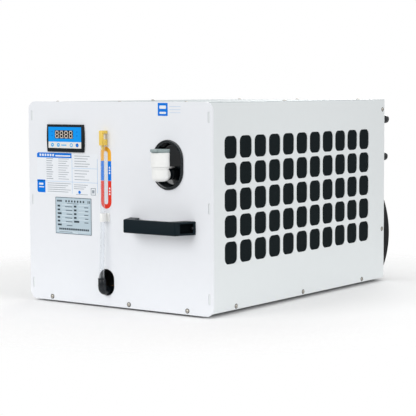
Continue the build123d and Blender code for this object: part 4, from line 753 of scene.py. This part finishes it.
def swept(path, radii, steps=32):
    """A round body along points in metres, each with its own radius in mm."""
    verts, faces = [], []
    last_side = None
    for i, point in enumerate(path):
        ahead = path[min(i + 1, len(path) - 1)] - path[max(i - 1, 0)]
        along = ahead.normalized()
        if last_side is None:
            last_side = axes(along)[0]
        first = (last_side - along * last_side.dot(along)).normalized()
        second = along.cross(first)
        last_side = first
        for k in range(steps):
            angle = 2 * pi * k / steps
            verts.append(point + (first * cos(angle) + second * sin(angle)) * radii[i] * MM)
    for ring in range(len(path) - 1):
        for k in range(steps):
            j = (k + 1) % steps
            a, b = ring * steps, (ring + 1) * steps
            faces.append((a + k, a + j, b + j, b + k))
    faces.append(tuple(range(steps)))
    faces.append(tuple(range((len(path) - 1) * steps, len(path) * steps)))
    return verts, faces


piece("level_tube", *swept(gauge_path, [4.5] * len(gauge_path)), clear, slot="clear_tube",
      replaces=("gauge_tube",))
softened("gauge_clip", yellow_plastic, 0.6, slot="clip_yellow")
softened("tube_saddle", white_plastic, 0.4, 2, slot="white_plastic")

ELBOW_RADIUS, ELBOW_Z, OUT_Z = 9, 45, 36   # the bend, its start and the height it leaves at
bend = [place(TUBE_X, TUBE_D, 60), place(TUBE_X, TUBE_D, 58.5), place(TUBE_X, TUBE_D, 46)]
for i in range(1, 9):
    angle = pi / 2 * i / 8
    d, z = TUBE_D + ELBOW_RADIUS * (1 - cos(angle)), ELBOW_Z - ELBOW_RADIUS * sin(angle)
    bend.append(place(TUBE_X, d, z))
bend += [place(TUBE_X, 4, OUT_Z), place(TUBE_X, 22, OUT_Z)]
bend_radii = [7.4] + [8.0] * (len(bend) - 1)
collar = turned([(7.6, 0), (8.4, 0.5), (8.4, 3.0), (7.8, 3.5)], place(TUBE_X, TUBE_D, 60), (0, 0, 1), 48)
rib_profile = [(8.0, 0), (8.5, 0.4), (8.5, 2.0), (8.0, 2.4)]
ribs = [turned(rib_profile, place(TUBE_X, TUBE_D, 47), (0, 0, 1), 48),
        turned(rib_profile, place(TUBE_X, -2, OUT_Z), (0, 1, 0), 48)]
piece("elbow_body", *joined(swept(bend, bend_radii), *ribs), fitting_black, slot="black_fitting",
      replaces=("drain_elbow",))
piece("elbow_nut", *collar, fitting_black, slot="black_fitting", replaces=("tube_nut",))

# Filler: neck, leg, stay, cap, disc and cup
neck_profile = [(11.0, 36.0), (11.0, 47.6), (11.6, 48.2), (14.4, 48.2), (15.0, 47.6), (15.0, 27.0),
                (15.0, 25.4), (16.6, 24.8), (16.6, 9.0)]
for i in range(1, 9):
    angle = pi / 2 * i / 8
    neck_profile.append((7.6 + 9 * cos(angle), 9.0 - 9.0 * sin(angle)))
LEG_Z = 281   # the leg's height above the feet, where it goes through the cup
leg_profile = [(13.0, 0), (13.0, 16.0), (12.4, 16.9), (9.0, 16.9)]
piece("filler_neck", *joined(turned(neck_profile, place(FX, FD, 267.8), (0, 0, 1), 64),
                             turned(leg_profile, place(FX, FD, LEG_Z), (0, 1, 0), 48)),
      white_plastic, slot="white_plastic", replaces=("filler_elbow",))
tail_profile = [(10.6, 0), (11.5, 0.8), (11.5, 10), (10.6, 10.6), (10.6, 11.4), (11.5, 12), (11.5, 27.2),
                (10.9, 28), (9.5, 28), (9.5, 54)]
piece("tailpiece", *turned(tail_profile, place(FX, -8, LEG_Z), (0, 1, 0), 48), fitting_black,
      slot="black_fitting", replaces=("filler_tailpiece",))
softened("filler_stay", white_plastic, 0.3, 2, slot="white_plastic")
cap_profile = [(15.6, 26.4), (15.6, 0.0), (18.0, 0.0), (18.6, 0.6), (18.6, 8.0), (18.35, 8.3),
               (18.6, 8.6), (18.6, 27.6), (18.0, 28.4), (17.0, 28.6)]
piece("filler_cap_body", *turned(cap_profile, place(FX, FD, 296), (0, 0, 1), 72), white_plastic,
      "cap_body", slot="white_plastic", replaces=("filler_cap",))
disc_profile = [(17.6, 0), (17.6, 1.7), (18.7, 1.7), (19.3, 2.3), (19.3, 6.0), (18.6, 6.7), (0.5, 6.7)]
lip = block(FX - 7, FX + 7, FD - 23.6, FD - 10, 326.3, 331.3, 0.8)
piece("cap_disc_body", *joined(turned(disc_profile, place(FX, FD, 324.6), (0, 0, 1), 72), lip), cap_grey,
      "cap_body", slot="cap_grey", replaces=("cap_disc",))

# The cup's loops, from behind the rim over it to the floor: width, height, distance behind the panel
cup_loops = [(66, 90, 2.6), (76, 100, -0.05), (76, 100, -1.4), (75.4, 99.4, -2.2), (74.2, 98.2, -2.8),
             (72.6, 96.6, -3), (66.5, 90.5, -2.9), (64.2, 88.2, -2.3), (62.6, 86.6, -1.0), (62, 86, 1.0),
             (61.4, 85.4, 14), (60.4, 84.4, 17), (58, 82, 19.2), (54, 78, 20)]
verts, faces = [], []
for width, height, d in cup_loops:
    loop = obround(FX, CUP_Z, width, height)
    verts += [place(x, d, z) for x, z in loop]
per_loop = len(loop)
for ring in range(len(cup_loops) - 1):
    for k in range(per_loop):
        j = (k + 1) % per_loop
        a, b = ring * per_loop, (ring + 1) * per_loop
        faces.append((a + k, a + j, b + j, b + k))
last = (len(cup_loops) - 1) * per_loop
faces.append(tuple(range(last, last + per_loop)))
piece("cup_body", *joined((verts, faces), prism(obround(FX, CUP_Z, 66, 90), 20.6, 22)), cup_gloss,
      slot="cup_gloss", replaces=("filler_cup",), angle=60)

# Rear: ports and dust caps
ports = []
PORT_X, OUTLET_Z, INLET_Z = 206.5, 376.5, 289
NUT = 9   # the depth of a port's nut, where its cap begins
for z in (OUTLET_Z, INLET_Z):
    base = Vector((PORT_X * MM, REAR * MM, z * MM))
    ports.append(turned([(13.2, 0), (14.0, 0.8), (14.0, 8.2), (13.2, 9.0)], base, (0, 1, 0), 6))
    ports.append(turned([(8.5, 8), (8.5, 33.2), (8.0, 34), (6.5, 34), (6.5, 10)], base, (0, 1, 0), 48))
piece("port_fittings", *joined(*ports), fitting_black, slot="black_fitting", replaces=("rear_fittings",))


def dust_cap_profile(reach):
    """A soft cap with raised bands and a chamfered nose, from its open end."""
    profile = [(8.6, 1.0), (8.6, 0.0), (10.0, 0.0), (10.2, 0.4), (10.2, 5.0), (9.7, 5.4)]
    for i in range(4):
        far = 12 + 6 * i
        profile += [(9.7, far), (10.1, far + 0.4), (10.1, far + 2.4), (9.7, far + 2.8)]
    return profile + [(9.7, reach - 4.2), (9.2, reach - 3.4), (6.6, reach - 0.6), (5.8, reach)]


for name, z, reach in (("outlet_cap", OUTLET_Z, 46.0), ("inlet_cap", INLET_Z, 41.0)):
    base = Vector((PORT_X * MM, (REAR + NUT) * MM, z * MM))
    piece(name + "_soft", *turned(dust_cap_profile(reach), base, (0, 1, 0), 48), fitting_black,
          name + "_body", slot="black_fitting", replaces=(name,))
softened("cord_gland", fitting_black, 0.4, 2, slot="black_fitting")


# Lights, floor and background
LOOKED_AT = Vector((0, 0, 0.2))
world = bpy.data.worlds.new("world")
scene.world = world
world.use_nodes = True
wn, wl = world.node_tree.nodes, world.node_tree.links
lit = wn["Background"]
lit.inputs["Color"].default_value = (1, 1, 1, 1)
lit.inputs["Strength"].default_value = 0.48
plain = wn.new("ShaderNodeBackground")
plain.inputs["Color"].default_value = (1, 1, 1, 1)
plain.inputs["Strength"].default_value = 1.0
ray = wn.new("ShaderNodeLightPath")
top = wn.new("ShaderNodeMath")
top.operation = "MAXIMUM"
wl.new(ray.outputs["Is Camera Ray"], top.inputs[0])
wl.new(ray.outputs["Is Transmission Ray"], top.inputs[1])
mixed = wn.new("ShaderNodeMixShader")
wl.new(top.outputs["Value"], mixed.inputs["Fac"])
wl.new(lit.outputs["Background"], mixed.inputs[1])
wl.new(plain.outputs["Background"], mixed.inputs[2])
wl.new(mixed.outputs["Shader"], wn["World Output"].inputs["Surface"])


def lamp(name, where, size, power):
    """A round lamp that looks at the chiller's middle."""
    light = bpy.data.lights.new(name, "AREA")
    light.shape = "DISK"
    light.size = size
    light.energy = power
    thing = bpy.data.objects.new(name, light)
    scene.collection.objects.link(thing)
    thing.location = where
    thing.rotation_mode = "QUATERNION"
    thing.rotation_quaternion = (LOOKED_AT - Vector(where)).to_track_quat("-Z", "Y")


lamp("front_light", (-0.8, -3.2, 1.5), 2.4, 54)
lamp("top_light", (0.3, 0.0, 3.0), 2.5, 15)
lamp("side_light", (3.2, -0.4, 1.6), 2.0, 46)
lamp("rear_light", (-1.0, 3.0, 1.6), 2.0, 42)

floor_mat = material("floor_pale", (0.93, 0.93, 0.93), 0.9, tone=0.005, bump=0.0, scale=3, gloss=0.0)
fn, fl = floor_mat.node_tree.nodes, floor_mat.node_tree.links
spot = fn.new("ShaderNodeTexCoord")
distance = fn.new("ShaderNodeVectorMath")
distance.operation = "LENGTH"
fl.new(spot.outputs["Object"], distance.inputs[0])
fade = fn.new("ShaderNodeMapRange")
fade.interpolation_type = "SMOOTHSTEP"
fade.inputs["From Min"].default_value = 0.45
fade.inputs["From Max"].default_value = 0.95
fl.new(distance.outputs["Value"], fade.inputs["Value"])
gone = fn.new("ShaderNodeBsdfTransparent")
faded = fn.new("ShaderNodeMixShader")
fl.new(fade.outputs["Result"], faded.inputs["Fac"])
fl.new(fn["Principled BSDF"].outputs["BSDF"], faded.inputs[1])
fl.new(gone.outputs["BSDF"], faded.inputs[2])
fl.new(faded.outputs["Shader"], fn["Material Output"].inputs["Surface"])
floor_data = bpy.data.meshes.new("floor")
floor_data.from_pydata([(-30, -30, 0), (30, -30, 0), (30, 30, 0), (-30, 30, 0)], [], [(0, 1, 2, 3)])
floor_data.materials.append(floor_mat)
floor = bpy.data.objects.new("floor", floor_data)
scene.collection.objects.link(floor)

scene.view_settings.view_transform = "Standard"
scene.view_settings.look = "None"
scene.render.film_transparent = False
